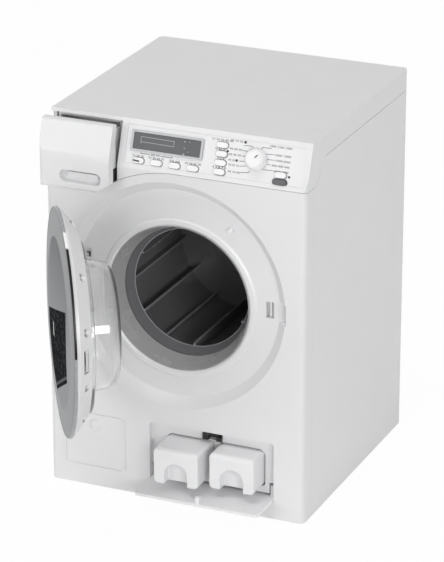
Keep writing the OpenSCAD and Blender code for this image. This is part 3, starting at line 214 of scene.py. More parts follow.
# 1 where a point lies past a straight line on the door and 0 before it, with a soft edge: the line is
# where along x way along the door + up x height equals the same at the door's middle + offset
def pastLine(tree, position, along, up, offset, edge=0.3 * mm):
    normal = doorAlong * along + Vector((0, 0, up))
    level = tree.nodes.new("ShaderNodeVectorMath")
    level.operation = "DOT_PRODUCT"
    level.inputs[1].default_value = normal
    tree.links.new(position, level.inputs[0])
    shift = normal.dot(doorMiddle) + offset
    return ranged(tree, level.outputs["Value"], 0, 1, shift - edge, shift + edge)


# 1 in the patch of the door that lies past every one of the lines
def patch(tree, position, lines):
    inside = pastLine(tree, position, *lines[0])
    for line in lines[1:]:
        inside = calculated(tree, "MULTIPLY", inside, pastLine(tree, position, *line))
    return inside


# Door window with a painted reflection: grey, paler downwards, with a dark mottled field of painted
# reflection across its lower half
def windowPaintedReflection(name, look):
    material, tree, shader = newMaterial(name)
    position = tree.nodes.new("ShaderNodeTexCoord").outputs["Object"]
    split = tree.nodes.new("ShaderNodeSeparateXYZ")
    tree.links.new(position, split.inputs["Vector"])
    # Painted reflection: the grey runs paler downwards
    fade = ranged(tree, split.outputs["Z"], 0, 1, doorMiddle.z + look["paleAt"],
                  doorMiddle.z + look["greyAt"])
    plain = blended(tree, fade, linear(look["paintedPaleColour"]), linear(look["reflectionGreyColour"]))
    # Painted dark reflection, mottled, for the field across the lower half
    cloud = objectNoise(tree, look["mottleScale"], look["mottleDetail"], look["mottleStretch"])
    mottle = ranged(tree, cloud, 0, 1, *look["mottleRange"])
    dark = blended(tree, mottle, linear(look["fieldReflectionColour"]), linear(look["mottleColour"]))
    # A painted highlight streak and a paler band of painted reflection over the dark field
    dark = blended(tree, patch(tree, position, look["highlightStreak"]), dark, linear(look["highlightStreakColour"]))
    dark = blended(tree, patch(tree, position, look["reflectionBand"]), dark, linear(look["reflectionBandColour"]))
    feed(tree, shader.inputs["Base Color"], blended(tree, patch(tree, position, look["darkReflectionField"]), plain, dark))
    shader.inputs["Roughness"].default_value = look["roughness"]
    shader.inputs["Specular IOR Level"].default_value = look["specular"]
    bumped(tree, shader, mottle, look["bump"], look["bumpDepth"])
    return material


# Rim of the trim ring, bright with a painted highlight and dark along its upper free side with a painted
# reflection
def rimPaintedReflection(name, look):
    material, tree, shader = newMaterial(name)
    position = tree.nodes.new("ShaderNodeTexCoord").outputs["Object"]
    cloud = objectNoise(tree, look["cloudScale"])
    grey = blended(tree, cloud, linear(look["colour"]), linear(look["second"]))
    # Painted highlight: a white patch
    shown = blended(tree, patch(tree, position, look["pale"]), grey, linear(look["paintedPaleColour"]))
    # Painted dark reflection along the upper free side
    shown = blended(tree, patch(tree, position, look["dark"]), shown, linear(look["darkReflectionColour"]))
    feed(tree, shader.inputs["Base Color"], shown)
    shader.inputs["Roughness"].default_value = look["roughness"]
    shader.inputs["Specular IOR Level"].default_value = look["specular"]
    return material


white = {"colour": "e6e6e7", "cloudScale": 14, "cloudDetail": 3.0, "cloudDepth": 0.985, "glossScale": 60,
         "roughness": 0.36, "smoother": 0.04, "rougher": 0.05, "grainScale": 2600, "grain": 0.06,
         "grainDepth": 0.2 * mm, "ior": 1.49}
finishLook = {
    "casing_white": white,
    "console_white": dict(white, roughness=0.3),
    "key_white": dict(white, colour="efeff0", roughness=0.3),
    "key_grey": dict(white, colour="58585a", cloudDepth=0.9),
    "display_dark": dict(white, colour="565759", cloudDepth=0.94, roughness=0.4),
    "bezel_silver": dict(white, colour="bcbec0", roughness=0.3),
    "board_green": dict(white, colour="2c6a3c", cloudDepth=0.8, roughness=0.45),
    "inner_white": dict(white, colour="dedede", roughness=0.5),
    "collar_grey": dict(white, colour="a9a9aa", cloudDepth=0.94, roughness=0.25),
    "drum_grey": dict(white, colour="767678", cloudDepth=0.9, roughness=0.2),
    "gear_white": dict(white, colour="e6e0cc", roughness=0.5),
    "bush_tan": dict(white, colour="c9a878", roughness=0.5),
    "black_plastic": dict(white, colour="1c1c1d", cloudDepth=0.8, roughness=0.35),
    "speaker_grey": dict(white, colour="5a5a5c", cloudDepth=0.85, roughness=0.55),
    "cell_wrap": dict(white, colour="8a7a44", cloudDepth=0.9, roughness=0.35),
    "cartridge_white": dict(white, colour="ebebec"),
    # A lighter copy of the casing white: painted light on the flap, which sits in shade
    "flap_white_painted_light": dict(white, colour="eeeeef"),
    "print_ink": dict(white, colour="303032", cloudDepth=0.85, roughness=0.5),
    "display_ink": dict(white, colour="aeb0b2", cloudDepth=0.9, roughness=0.5),
    "dark_mark": dict(white, colour="161617", cloudDepth=0.8, roughness=0.4),
    # Grey of the key rims, painted shade along the keys' edges
    "key_rim_painted_shade": dict(white, colour="8f9092", cloudDepth=0.9),
    # Pale grey of the drum's painted highlights
    "drum_edge_highlight": dict(white, colour="97989a", roughness=0.25),
}
metal = {"lineScale": 700, "stretch": (1, 1, 8), "lineDepth": 0.8, "roughness": 0.3, "uneven": 0.08,
         "bump": 0.15, "bumpDepth": 0.1 * mm, "metallic": 1.0}
metalLook = {
    "steel": dict(metal, colour="c4c5c7"),
    "screw_steel": dict(metal, colour="8f9092", roughness=0.5, metallic=0.6),
    "motor_metal": dict(metal, colour="a9abad", lineScale=500, stretch=(1, 8, 1), roughness=0.35),
    "contact_metal": dict(metal, colour="cfcfc8", lineScale=600, stretch=(8, 1, 1)),
    "trim_grey": dict(metal, colour="8d8e90", lineScale=400, stretch=(1, 1, 6), roughness=0.42,
                      metallic=0.3),
}
domeLook = {"colour": "ffffff", "flowScale": 25, "flowDepth": 0.985, "roughness": 0.02, "rougher": 0.05,
            "bump": 0.2, "bumpDepth": 0.6 * mm, "clear": 0.93, "ior": 1.46}

# Patches of the door are given by lines on it: along, up, offset
# The window's gradient, dark field and band are a painted reflection, and its streak is a painted highlight
windowReflectionLook = {
    "paleAt": -5 * mm, "greyAt": 50 * mm, "paintedPaleColour": "a9abac", "reflectionGreyColour": "8e9091",
    "fieldReflectionColour": "262729", "mottleColour": "5c5d5f", "mottleScale": 600, "mottleDetail": 6.0,
    "mottleStretch": (0.3, 0.3, 1), "mottleRange": (0.5, 0.78), "bump": 0.08, "bumpDepth": 0.2 * mm,
    "roughness": 0.2, "specular": 0.0,
    "darkReflectionField": [(0.35, -1, -8.8 * mm), (-1, 0, -41 * mm), (-0.5, 1, -45 * mm), (1, 0, -52 * mm)],
    "reflectionBand": [(0.5, -1, 40.2 * mm), (-0.5, 1, -42.2 * mm)], "reflectionBandColour": "6c6d6f",
    "highlightStreak": [(1, 0.1, -24.6 * mm), (-1, -0.1, 19.6 * mm), (0, -1, 8 * mm), (0, 1, -17 * mm)],
    "highlightStreakColour": "d8d9da",
}
# Patches of painted dark reflection and painted highlight on the trim's rim
rimLook = {
    "colour": "909193", "second": "b4b5b7", "cloudScale": 300, "roughness": 0.3, "specular": 0.2,
    "dark": [(1, 0, 20 * mm), (0, 1, 5 * mm), (0, -1, -64 * mm)], "darkReflectionColour": "141415",
    "pale": [(1, 0, 0), (0, 1, 64 * mm), (0, -1, -70 * mm)], "paintedPaleColour": "ffffff",
}

finishes = {name: mouldedPlastic(name, look) for name, look in finishLook.items()}
finishes.update({name: platedMetal(name, look) for name, look in metalLook.items()})
finishes["dome_clear"] = clearPlastic("dome_clear", domeLook)
# The tinted window gets the painted reflection
finishes["window_tint"] = windowPaintedReflection("window_tint", windowReflectionLook)
finishes["trim_rim"] = rimPaintedReflection("trim_rim", rimLook)
# The flap takes the lighter white, painted light
ownFinish = {"door_screws": "screw_steel", "dosing_flap": "flap_white_painted_light", "cartridge_left": "cartridge_white",
             "cartridge_right": "cartridge_white"}
for node, cadObject in frame["nodes"].items():
    cadObject.data.materials.clear()
    cadObject.data.materials.append(finishes[ownFinish.get(node, nodeSlot[node])])
print("finishes made:", len(finishes))


def pointsOf(mesh):
    points = np.empty(len(mesh.vertices) * 3, np.float32)
    mesh.vertices.foreach_get("co", points)
    return points.reshape(-1, 3)


def meshOf(name, points, faces):
    mesh = bpy.data.meshes.new(name)
    mesh.from_pydata(points.tolist(), [], faces)
    return mesh


# The same mesh with its faces turned outwards, and its doubles merged first where weld is given
def outward(mesh, weld=None):
    shape = bmesh.new()
    shape.from_mesh(mesh)
    if weld:
        bmesh.ops.remove_doubles(shape, verts=shape.verts, dist=weld)
    bmesh.ops.recalc_face_normals(shape, faces=shape.faces)
    shape.to_mesh(mesh)
    shape.free()


def newPiece(name, mesh, finish, body):
    mesh.materials.append(finishes[finish])
    piece = bpy.data.objects.new(name, mesh)
    bpy.context.scene.collection.objects.link(piece)
    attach(piece, body)
    return piece


# A piece made from a node's own shape
def newMoulding(node, mesh):
    slot = nodeSlot[node]
    return newPiece(node + "_moulding", mesh, ownFinish.get(node, slot), bodyOf[node])


def bevelled(piece, width, steps=2):
    rounding = piece.modifiers.new("rounding", "BEVEL")
    rounding.width = width
    rounding.segments = steps
    rounding.harden_normals = True
    return rounding


# A merged copy of a CAD node, which the edge work below starts from
edgeWork = {"weld": 2e-6, "flat": math.radians(0.5), "sharp": math.radians(28)}


def mergedCopy(node):
    source = frame["nodes"][node].data
    triangles = [tuple(face.vertices) for face in source.polygons]
    mesh = meshOf(node + "_moulding", pointsOf(source), triangles)
    shape = bmesh.new()
    shape.from_mesh(mesh)
    bmesh.ops.remove_doubles(shape, verts=shape.verts, dist=edgeWork["weld"])
    return mesh, shape


# A moulding with its edges rounded, and rounded more along the edges that lie above wideFrom
def softened(node, radius, wide=None, wideFrom=None, steps=2):
    mesh, shape = mergedCopy(node)
    bmesh.ops.dissolve_limit(shape, angle_limit=edgeWork["flat"], verts=shape.verts, edges=shape.edges)
    weights = shape.edges.layers.float.new("bevel_weight_edge")
    widest = wide or radius
    for edge in shape.edges:
        if len(edge.link_faces) == 2 and edge.calc_face_angle() > edgeWork["sharp"]:
            isWide = wide and min(v.co.z for v in edge.verts) > wideFrom
            edge[weights] = 1.0 if isWide else radius / widest
    shape.to_mesh(mesh)
    shape.free()
    mesh.shade_smooth()
    mesh.set_sharp_from_angle(angle=edgeWork["sharp"])
    piece = newMoulding(node, mesh)
    rounding = bevelled(piece, widest, steps)
    rounding.limit_method = "WEIGHT"
    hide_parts(node)


softEdges = {
    "front_panel": {"radius": 0.35 * mm},
    "cabinet_shell": {"radius": 0.3 * mm},
    "top_cover": {"radius": 0.5 * mm, "wide": 2.4 * mm, "wideFrom": cadHigh.z - 0.05 * mm, "steps": 4},
    "drawer_front": {"radius": 0.8 * mm, "steps": 3},
    "drawer_tray": {"radius": 0.3 * mm},
    "door_body": {"radius": 0.35 * mm},
    "door_hinge_arms": {"radius": 0.3 * mm},
    "dosing_flap": {"radius": 0.4 * mm},
    "program_knob": {"radius": 0.4 * mm, "steps": 3},
    "door_contact_pin": {"radius": 0.3 * mm},
    "flap_catch": {"radius": 0.25 * mm},
    "display_bezel": {"radius": 0.25 * mm},
    "battery_cover": {"radius": 0.3 * mm},
}
for node, edges in softEdges.items():
    softened(node, **edges)
print("mouldings softened:", len(softEdges))

# Cartridges: thick soft mouldings, so the whole outer skin is remeshed and relaxed
cartridgeLook = {"voxel": 0.5 * mm, "relax": 0.5, "rounds": 7}


# The outer skin is the shell that holds the foremost point: each corner takes the lowest number in
# its triangles, over and over, until every shell has a number of its own
def outerSkin(mesh):
    points = pointsOf(mesh)
    corners = np.array([face.vertices for face in mesh.polygons])
    shell = np.arange(len(points))
    while True:
        lowest = shell[corners].min(axis=1)
        spread = shell.copy()
        np.minimum.at(spread, corners, lowest[:, None])
        if (spread == shell).all():
            break
        shell = spread
    outer = shell[points[:, 1].argmin()]
    kept = corners[shell[corners[:, 0]] == outer]
    used, kept = np.unique(kept, return_inverse=True)
    return points[used], kept.reshape(-1, 3).tolist()


def softBlock(node, look):
    merged, shape = mergedCopy(node)
    shape.to_mesh(merged)
    shape.free()
    points, faces = outerSkin(merged)
    bpy.data.meshes.remove(merged)
    piece = newMoulding(node, meshOf(node + "_moulding", points, faces))
    remesh = piece.modifiers.new("skin", "REMESH")
    remesh.mode = "VOXEL"
    remesh.voxel_size = look["voxel"]
    remesh.use_smooth_shade = True
    relax = piece.modifiers.new("relax", "SMOOTH")
    relax.factor = look["relax"]
    relax.iterations = look["rounds"]
    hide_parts(node)


for side in ("left", "right"):
    softBlock("cartridge_" + side, cartridgeLook)
print("cartridges softened")

# Console face: points lie across, up the slope and out of it, in millimetres
consoleFace = {"lean": math.radians(19.3), "frontY": -90.2, "footZ": 230.0}


# y is the foot's + up sin lean - out cos lean, and z is the foot's + up cos lean + out sin lean
def onConsole(points):
    lean = consoleFace["lean"]
    y = consoleFace["frontY"] + points[:, 1] * math.sin(lean) - points[:, 2] * math.cos(lean)
    z = consoleFace["footZ"] + points[:, 1] * math.cos(lean) + points[:, 2] * math.sin(lean)
    return np.stack([points[:, 0], y, z], axis=1) * mm


# Where a key's middle lies on the console face, from its box: the same lean, taken back
def onFace(node):
    low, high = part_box(node)
    lean = consoleFace["lean"]
    middle = (low + high) / 2 / mm
    behind = middle.y - consoleFace["frontY"]
    above = middle.z - consoleFace["footZ"]
    return middle.x, behind * math.sin(lean) + above * math.cos(lean)


# Several meshes as one: the numbers in each one's faces move on by the points that come before it
def joined(parts):
    faces = []
    count = 0
    for points, partFaces in parts:
        faces += [[number + count for number in face] for face in partFaces]
        count += len(points)
    return np.concatenate([points for points, partFaces in parts]), faces


# An upright box's faces, as numbers of its eight corners: four low ones in turn, then four high ones
boxCorners = 8
boxSides = np.array([(0, 3, 2, 1), (4, 5, 6, 7), (0, 1, 5, 4), (1, 2, 6, 5), (2, 3, 7, 6), (3, 0, 4, 7)])


def boxFaces(count):
    return (np.arange(count)[:, None, None] * boxCorners + boxSides[None]).reshape(-1, 4)


# Flat bars along the legs of each path: a leg's corners are its two ends, moved by half the line's
# width along it and by the same to each side, at the low and the high level
def barsMesh(paths, look):
    legs = np.array([[*path[i], *path[i + 1]] for path in paths for i in range(len(path) - 1)], float)
    start = legs[:, :2]
    end = legs[:, 2:]
    along = (end - start) / np.linalg.norm(end - start, axis=1, keepdims=True)
    across = np.stack([-along[:, 1], along[:, 0]], axis=1) * look["line"] / 2
    reach = along * look["line"] / 2
    flat = np.stack([start - reach - across, end + reach - across, end + reach + across,
                     start - reach + across], 1)
    heights = np.array([look["low"], look["high"]])
    points = np.empty((len(legs), 2, 4, 3))
    points[..., :2] = flat[:, None]
    points[..., 2] = heights[None, :, None]
    return points.reshape(-1, 3), boxFaces(len(legs)).tolist()


# Plain numbers, each row fitted to its own span on the console face: x0, x1, up, digits
def numbersMesh(rows, look):
    low, high = look["low"], look["high"]
    parts = []
    for x0, x1, up, digits in rows:
        words = bpy.data.curves.new("digits", "FONT")
        words.body = digits
        words.size = look["size"]
        words.extrude = (high - low) / 2
        words.resolution_u = look["curveSteps"]
        holder = bpy.data.objects.new("digits", words)
        flat = bpy.data.meshes.new_from_object(holder)
        points = pointsOf(flat).astype(float)
        spread = points[:, 0].max() - points[:, 0].min()
        points[:, 0] = x0 + (points[:, 0] - points[:, 0].min()) * (x1 - x0) / spread
        points[:, 1] += up - (points[:, 1].max() + points[:, 1].min()) / 2
        points[:, 2] += (low + high) / 2
        parts.append((points, [tuple(face.vertices) for face in flat.polygons]))
        bpy.data.objects.remove(holder)
        bpy.data.curves.remove(words)
        bpy.data.meshes.remove(flat)
    return joined(parts)


# Round marks, each given by its middle and radius: a point of the rim is middle + radius (cos t, sin t)
# at the low or the high level, and two caps close it
def discsMesh(places, look):
    ring = np.arange(look["sides"])
    turn = ring * 2 * math.pi / look["sides"]
    following = (ring + 1) % look["sides"]
    caps = [ring[::-1].tolist(), (ring + look["sides"]).tolist()]
    walls = np.stack([ring, following, following + look["sides"], ring + look["sides"]], 1).tolist()
    parts = []
    for x, up, radius in places:
        points = [np.stack([x + radius * np.cos(turn), up + radius * np.sin(turn),
                            np.full(look["sides"], look[level])], 1) for level in ("low", "high")]
        parts.append((np.concatenate(points), caps + walls))
    return joined(parts)


def consolePiece(name, parts, finish, body):
    points, faces = joined(parts)
    newPiece(name, meshOf(name, onConsole(points), faces), finish, body)


# Prints on the label: the number rows, the lines that lead from them to the knob, and some dots
labelPrint = {"size": 1.75, "line": 0.32, "low": -0.3, "high": -0.24, "curveSteps": 3, "sides": 20}
numberRows = [
    (35.7, 44.2, 21.6, "90 60 40"), (35.7, 43.8, 18.0, "60 40 30"), (35.7, 40.2, 14.5, "40 30"),
    (36.1, 43.4, 11.4, "30 20 10"), (36.2, 44.7, 7.2, "20 10 00"), (35.8, 44.3, 26.9, "95 75 65"),
    (23.1, 37.4, 26.3, "10 20 30 40 50"), (25.8, 33.2, 20.4, "10 20 30"), (28.6, 32.6, 14.6, "1 2 3"),
    (25.5, 34.9, 8.7, "4 5 6 7 8"), (62.6, 77.8, 26.7, "1400 1200 1000"), (66.5, 77.7, 21.5, "1200 1000"),
    (67.5, 77.7, 18.1, "1000 800"), (65.5, 77.6, 14.8, "800 600 400"), (67.5, 77.3, 11.5, "600 400"),
    (-30.3, -22.2, 8.5, "10 20 30"), (-19.2, -8.2, 8.5, "20 30 40 50"), (-4.4, 3.0, 8.5, "50 60"),
    (6.5, 17.6, 8.5, "60 70 80 90"), (-17.6, -11.6, 10.5, "20 30"),
]
leadLines = [
    [(45.0, 21.6), (48.1, 21.2)], [(44.6, 18.0), (46.4, 17.9)], [(43.4, 14.5), (46.6, 14.6)],
    [(44.2, 11.4), (47.9, 11.9)], [(45.2, 7.6), (50.4, 8.0), (51.2, 9.3)],
    [(45.2, 24.6), (49.8, 25.0), (51.6, 24.2)], [(57.0, 23.8), (57.9, 25.2), (63.7, 25.1)],
    [(60.9, 21.3), (65.6, 21.5)], [(62.0, 18.0), (66.4, 18.1)], [(62.4, 15.0), (64.4, 14.8)],
    [(60.2, 11.3), (66.4, 11.5)], [(-24.7, 11.2), (-24.7, 10.4), (-18.6, 10.4)],
    [(-10.6, 10.3), (-2.7, 10.3), (-2.7, 11.2)],
]
spots = [(45.9, 26.8, 0.9), (34.6, 19.6, 0.8), (41.5, 14.6, 0.85), (78.1, 8.9, 0.8)]
consolePiece("console_numbers", [
    numbersMesh(numberRows, labelPrint), barsMesh(leadLines, labelPrint), discsMesh(spots, labelPrint)],
    "print_ink", "casing")

displayPrint = {"line": 0.35, "low": 0.5, "high": 0.55, "sides": 20}
displayLines = [
    [(-25.6, 21.1), (-2.4, 20.8)], [(-25.1, 17.8), (-2.2, 17.5)], [(-25.6, 21.1), (-25.2, 16.8)],
    [(-2.4, 20.8), (-2.2, 17.5)]]
displaySpots = [(5.0, 21.7, 0.5), (5.1, 17.5, 0.45), (5.0, 13.6, 0.55), (8.3, 21.8, 0.3), (7.9, 15.4, 0.3)]
consolePiece("display_marks", [
    barsMesh(displayLines, displayPrint), discsMesh(displaySpots, displayPrint)],
    "display_ink", "casing")

# Raised grey rims round the keys, as painted shade along the keys' edges
keyShadeRim = {"long": 7.8, "doorLong": 9.6, "tall": 3.7, "gap": 0.24, "width": 0.26, "low": -0.3, "high": -0.1,
          "turns": 14}


# Two half circles joined by straight runs: a point is the key's middle, moved half the straight run to
# its own side, + radius (cos t, sin t), and four such loops in turn bound the rim
def stadiumRing(middle, long, look):
    number = np.arange(2 * look["turns"])
    right = number < look["turns"]
    turn = (number % look["turns"]) * math.pi / (look["turns"] - 1) - math.pi / 2
    turn = np.where(right, turn, turn + math.pi)
    shift = np.where(right, 1, -1) * (long - look["tall"]) / 2
    inner = look["tall"] / 2 + look["gap"]
    outer = inner + look["width"]
    loops = [np.stack([middle[0] + shift + radius * np.cos(turn), middle[1] + radius * np.sin(turn),
                       np.full(len(turn), look[level])], axis=1)
             for radius, level in ((inner, "low"), (inner, "high"), (outer, "high"), (outer, "low"))]
    n = len(turn)
    following = (number + 1) % n
    faces = [np.stack([a * n + number, a * n + following, b * n + following, b * n + number], axis=1)
             for a, b in ((0, 1), (1, 2), (2, 3), (3, 0))]
    return np.concatenate(loops), np.concatenate(faces)[:, ::-1].tolist()


keyLong = {"start_key": keyShadeRim["long"]}
keyLong.update({"option_key_%d" % i: keyShadeRim["long"] for i in range(1, 9)})
keyLong["door_key"] = keyShadeRim["doorLong"]
consolePiece("key_shade_rims", [stadiumRing(onFace(node), long, keyShadeRim) for node, long in keyLong.items()],
             "key_rim_painted_shade", "casing")

# Dark mark let into the knob, and the dark bar on the first key
knobMark = {"middle": (54.7, 17.1), "turn": math.radians(50), "from": 1.25, "to": 3.75, "line": 0.62,
            "low": 4.75, "high": 5.24}
keyMark = {"path": [(-28.7, 5.5), (-25.0, 5.2)], "line": 1.0, "low": 1.2, "high": 1.26}
way = np.array([math.cos(knobMark["turn"]), math.sin(knobMark["turn"])])
ends = [tuple(np.array(knobMark["middle"]) + way * (knobMark[end] + shift * knobMark["line"] / 2))
        for end, shift in (("from", 1), ("to", -1))]
consolePiece("knob_mark", [barsMesh([ends], knobMark)], "dark_mark", "knob")
consolePiece("key_mark", [barsMesh([keyMark["path"]], keyMark)], "dark_mark", "option_button_1")
print("console printed:", len(numberRows), "rows,", len(leadLines), "lines")

# Round pieces of the door: their depth is measured inwards from the face plane of the ring
doorFace = {"depth": 16.8, "weld": 1e-6, "sharp": math.radians(35)}


# A profile of radius and depth is carried round the axis, where a point is
# middle + radius (along cos t + up sin t) + depth inwards
def turnedMesh(name, profile, middle, sides, closed):
    turn = np.arange(sides) * 2 * math.pi / sides
    radius = profile[:, 0][None, :, None] * mm
    depth = (profile[:, 1] - doorFace["depth"])[None, :, None] * mm
    cosine = np.cos(turn)[:, None, None]
    sine = np.sin(turn)[:, None, None]
    across = cosine * np.array(doorAlong) + sine * np.array([0, 0, 1])
    points = np.array(middle) + radius * across - depth * np.array(doorOut)
    n = len(profile)
    i, j = np.meshgrid(np.arange(sides), np.arange(n if closed else n - 1), indexing="ij")
    nextI = (i + 1) % sides
    nextJ = (j + 1) % n
    faces = np.stack([i * n + j, nextI * n + j, nextI * n + nextJ, i * n + nextJ], axis=-1).reshape(-1, 4)
    mesh = meshOf(name, points.reshape(-1, 3), faces.tolist())
    outward(mesh, doorFace["weld"])
    mesh.shade_smooth()
    mesh.set_sharp_from_angle(angle=doorFace["sharp"])
    return mesh


# Rim round the trim ring, bright with a painted highlight
rimShape = {"radius": 74.12, "inner": 73.5, "front": 0.2, "shoulder": 0.75, "back": 1.75, "slopeIn": 0.35,
            "slopeDown": 0.15, "sides": 192}
rimProfile = np.array([
    [rimShape["inner"], rimShape["front"]],
    [rimShape["radius"] - rimShape["slopeIn"], rimShape["front"] + rimShape["slopeDown"]],
    [rimShape["radius"], rimShape["shoulder"]],
    [rimShape["radius"], rimShape["back"]],
    [rimShape["inner"], rimShape["back"]]])
rimMesh = turnedMesh("door_trim_rim", rimProfile, doorMiddle, rimShape["sides"], True)
newPiece("door_trim_rim", rimMesh, "trim_rim", "door")

# Clear dome: flange, drawn side with a fillet at its foot, wide turned edge and a crowned end
domeShape = {"radius": 42.5, "flange": 56.0, "foot": 12.45, "flangeTop": 15.45, "end": 35.45, "wall": 1.7,
             "turn": 9.0, "draft": 1.2, "crown": 0.9, "fillet": 1.8, "steps": 12, "lip": 0.7, "lipSteps": 5,
             "sides": 160}


# A point of an arc is middle + radius (cos t, sin t)
def arc(middle, radius, start, stop, steps):
    turn = np.radians(np.linspace(start, stop, steps))
    return np.stack([middle[0] + radius * np.cos(turn), middle[1] + radius * np.sin(turn)], axis=1)


# Radius and depth of the outer wall from the end's middle out to the flange, then of the inner wall
# back again: the crown falls with the square of the way across it, and arcs carry on from it
def domeProfile(s):
    edge = s["radius"] - s["draft"] - s["turn"]
    level = s["end"] - s["crown"] - s["turn"]
    across = np.linspace(0, 1, s["steps"])[:-1]
    crown = np.stack([edge * across, s["end"] - s["crown"] * across ** 2], axis=1)
    outside = np.concatenate([
        crown, arc((edge, level), s["turn"], 90, 0, s["steps"]),
        arc((s["radius"] + s["fillet"], s["flangeTop"] + s["fillet"]), s["fillet"], 180, 270, s["steps"]),
        arc((s["flange"] - s["lip"], s["flangeTop"] - s["lip"]), s["lip"], 90, 0, s["lipSteps"]),
        [[s["flange"], s["foot"]]]])
    inside = np.concatenate([
        [[s["radius"] - s["wall"], s["foot"]]], arc((edge, level), s["turn"] - s["wall"], 0, 90, s["steps"]),
        crown[::-1] - [0, s["wall"]]])
    return np.concatenate([outside, inside])


domeMiddle = middleOnDoor("door_dome", doorReach["dome"])
domeMesh = turnedMesh("door_dome_clear", domeProfile(domeShape), domeMiddle, domeShape["sides"], False)
dome = newPiece("door_dome_clear", domeMesh, "dome_clear", "door")
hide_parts("door_dome")
print("door rim and dome made")

# Upright boxes given by their lowest and highest corners, in millimetres: each corner of a box takes
# the low or the high value on each axis
cornerPick = np.array([[0, 0, 0], [1, 0, 0], [1, 1, 0], [0, 1, 0],
                       [0, 0, 1], [1, 0, 1], [1, 1, 1], [0, 1, 1]])


def boxesMesh(boxes):
    ends = np.array(boxes, float)
    points = np.where(cornerPick[None], ends[:, 1][:, None], ends[:, 0][:, None])
    return points.reshape(-1, 3), boxFaces(len(ends))


def boxPiece(name, boxes, finish, body, rounding):
    points, faces = boxesMesh(boxes)
    mesh = meshOf(name, points * mm, faces.tolist())
    mesh.shade_smooth()
    bevelled(newPiece(name, mesh, finish, body), rounding)


# White plates behind the slots, black bars as painted shade in a hinge slot, black strips as painted shade
# in the seams under the top cover, and a black plate as painted shade at the end of the gap over the drawer
slotBacking = {"x": (-73.6, -60.4), "y": (-81.9, -81.0), "half": 5.2, "heights": (126.8, 164.8)}
seamShade = {"x": (90.1, 91.05), "y": (-56.0, 72.0), "z": (244.75, 245.95)}
smallBoxes = {
    "hinge_slot_backing": {
        "boxes": [((slotBacking["x"][0], slotBacking["y"][0], z - slotBacking["half"]),
                   (slotBacking["x"][1], slotBacking["y"][1], z + slotBacking["half"]))
                  for z in slotBacking["heights"]],
        "finish": "casing_white", "body": "casing", "rounding": 0.2 * mm},
    # Painted shade: black bars for the dark opening of a hinge slot
    "hinge_slot_painted_shade": {
        "boxes": [((-66.0, -83.6, 164.5), (-63.3, -83.2, 165.3)),
                  ((-64.2, -83.6, 161.6), (-63.3, -83.2, 165.0))],
        "finish": "black_plastic", "body": "casing", "rounding": 0.1 * mm},
    "latch_slot_backing": {
        "boxes": [((61.5, -80.9, 138.6), (67.7, -80.4, 151.0))],
        "finish": "casing_white", "body": "casing", "rounding": 0.1 * mm},
    # Painted shade: black strips in the seams under the top cover
    "top_seam_shade_strips": {
        "boxes": [((left, seamShade["y"][0], seamShade["z"][0]),
                   (right, seamShade["y"][1], seamShade["z"][1]))
                  for left, right in (seamShade["x"], (-seamShade["x"][1], -seamShade["x"][0]))],
        "finish": "black_plastic", "body": "casing", "rounding": 0.1 * mm},
    # Painted shade: a black plate at the end of the gap over the drawer
    "drawer_gap_shade": {
        "boxes": [((-41.8, -94.0, 220.4), (-41.1, -88.0, 228.2))],
        "finish": "black_plastic", "body": "drawer", "rounding": 0.1 * mm},
}
for name, look in smallBoxes.items():
    boxPiece(name, **look)
print("small plates and strips made:", len(smallBoxes))

# Painted highlights in the drum: a pale cap on each rib's free edge and front end, and a pale bead round the
# neck
drumEdgeHighlights = {"ribs": 12, "turn": 28.0, "inner": 47.4, "high": (8.2, 4.2), "front": (27.4, 28.0),
             "half": 0.72, "cap": 0.4, "end": 2.6, "proud": 0.06, "backGap": 5, "neck": 41.2,
             "neckDepth": 26.8, "bead": 0.42, "beadSides": 8, "sides": 120}


# A cap is a box that is turned with its rib about the drum's axis, and a point of the bead's ring is
# neck + bead cos v out from that axis and neckDepth + bead sin v behind the front
def drumEdgeHighlightsMesh(look):
    drumLow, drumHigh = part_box("drum")
    middle = np.array((drumLow + drumHigh) / 2 / mm)
    frontY = consoleFace["frontY"]
    number = np.arange(look["ribs"])
    edge = look["inner"] - np.array(look["high"])[number % 2]
    front = frontY + np.array(look["front"])[number % 2] - look["proud"]
    back = np.full(look["ribs"], drumHigh.y / mm - look["backGap"])
    wide = np.full(look["ribs"], look["half"])
    low = np.stack([edge - look["proud"], front, -wide], 1)
    caps = np.stack([low, np.stack([edge + look["cap"], back, wide], 1)], 1)
    ends = np.stack([low, np.stack([edge + look["end"], front + look["cap"], wide], 1)], 1)
    points, faces = boxesMesh(np.concatenate([caps, ends]))
    turn = np.radians(look["turn"] + number * 360 / look["ribs"])
    turn = np.repeat(np.concatenate([turn, turn]), boxCorners)
    x = middle[0] + points[:, 0] * np.cos(turn) + points[:, 2] * np.sin(turn)
    z = middle[2] - points[:, 0] * np.sin(turn) + points[:, 2] * np.cos(turn)
    ribs = np.stack([x, points[:, 1], z], 1)
    n = look["beadSides"]
    around, over = np.meshgrid(np.arange(look["sides"]), np.arange(n), indexing="ij")
    u = around * 2 * math.pi / look["sides"]
    v = over * 2 * math.pi / n
    out = look["neck"] + look["bead"] * np.cos(v)
    ring = np.stack([middle[0] + out * np.cos(u), frontY + look["neckDepth"] + look["bead"] * np.sin(v),
                     middle[2] + out * np.sin(u)], -1).reshape(-1, 3)
    nextU = (around + 1) % look["sides"]
    nextV = (over + 1) % n
    quads = np.stack([around * n + over, nextU * n + over, nextU * n + nextV, around * n + nextV], -1)
    return np.concatenate([ribs, ring]), np.concatenate([faces, quads.reshape(-1, 4) + len(ribs)])


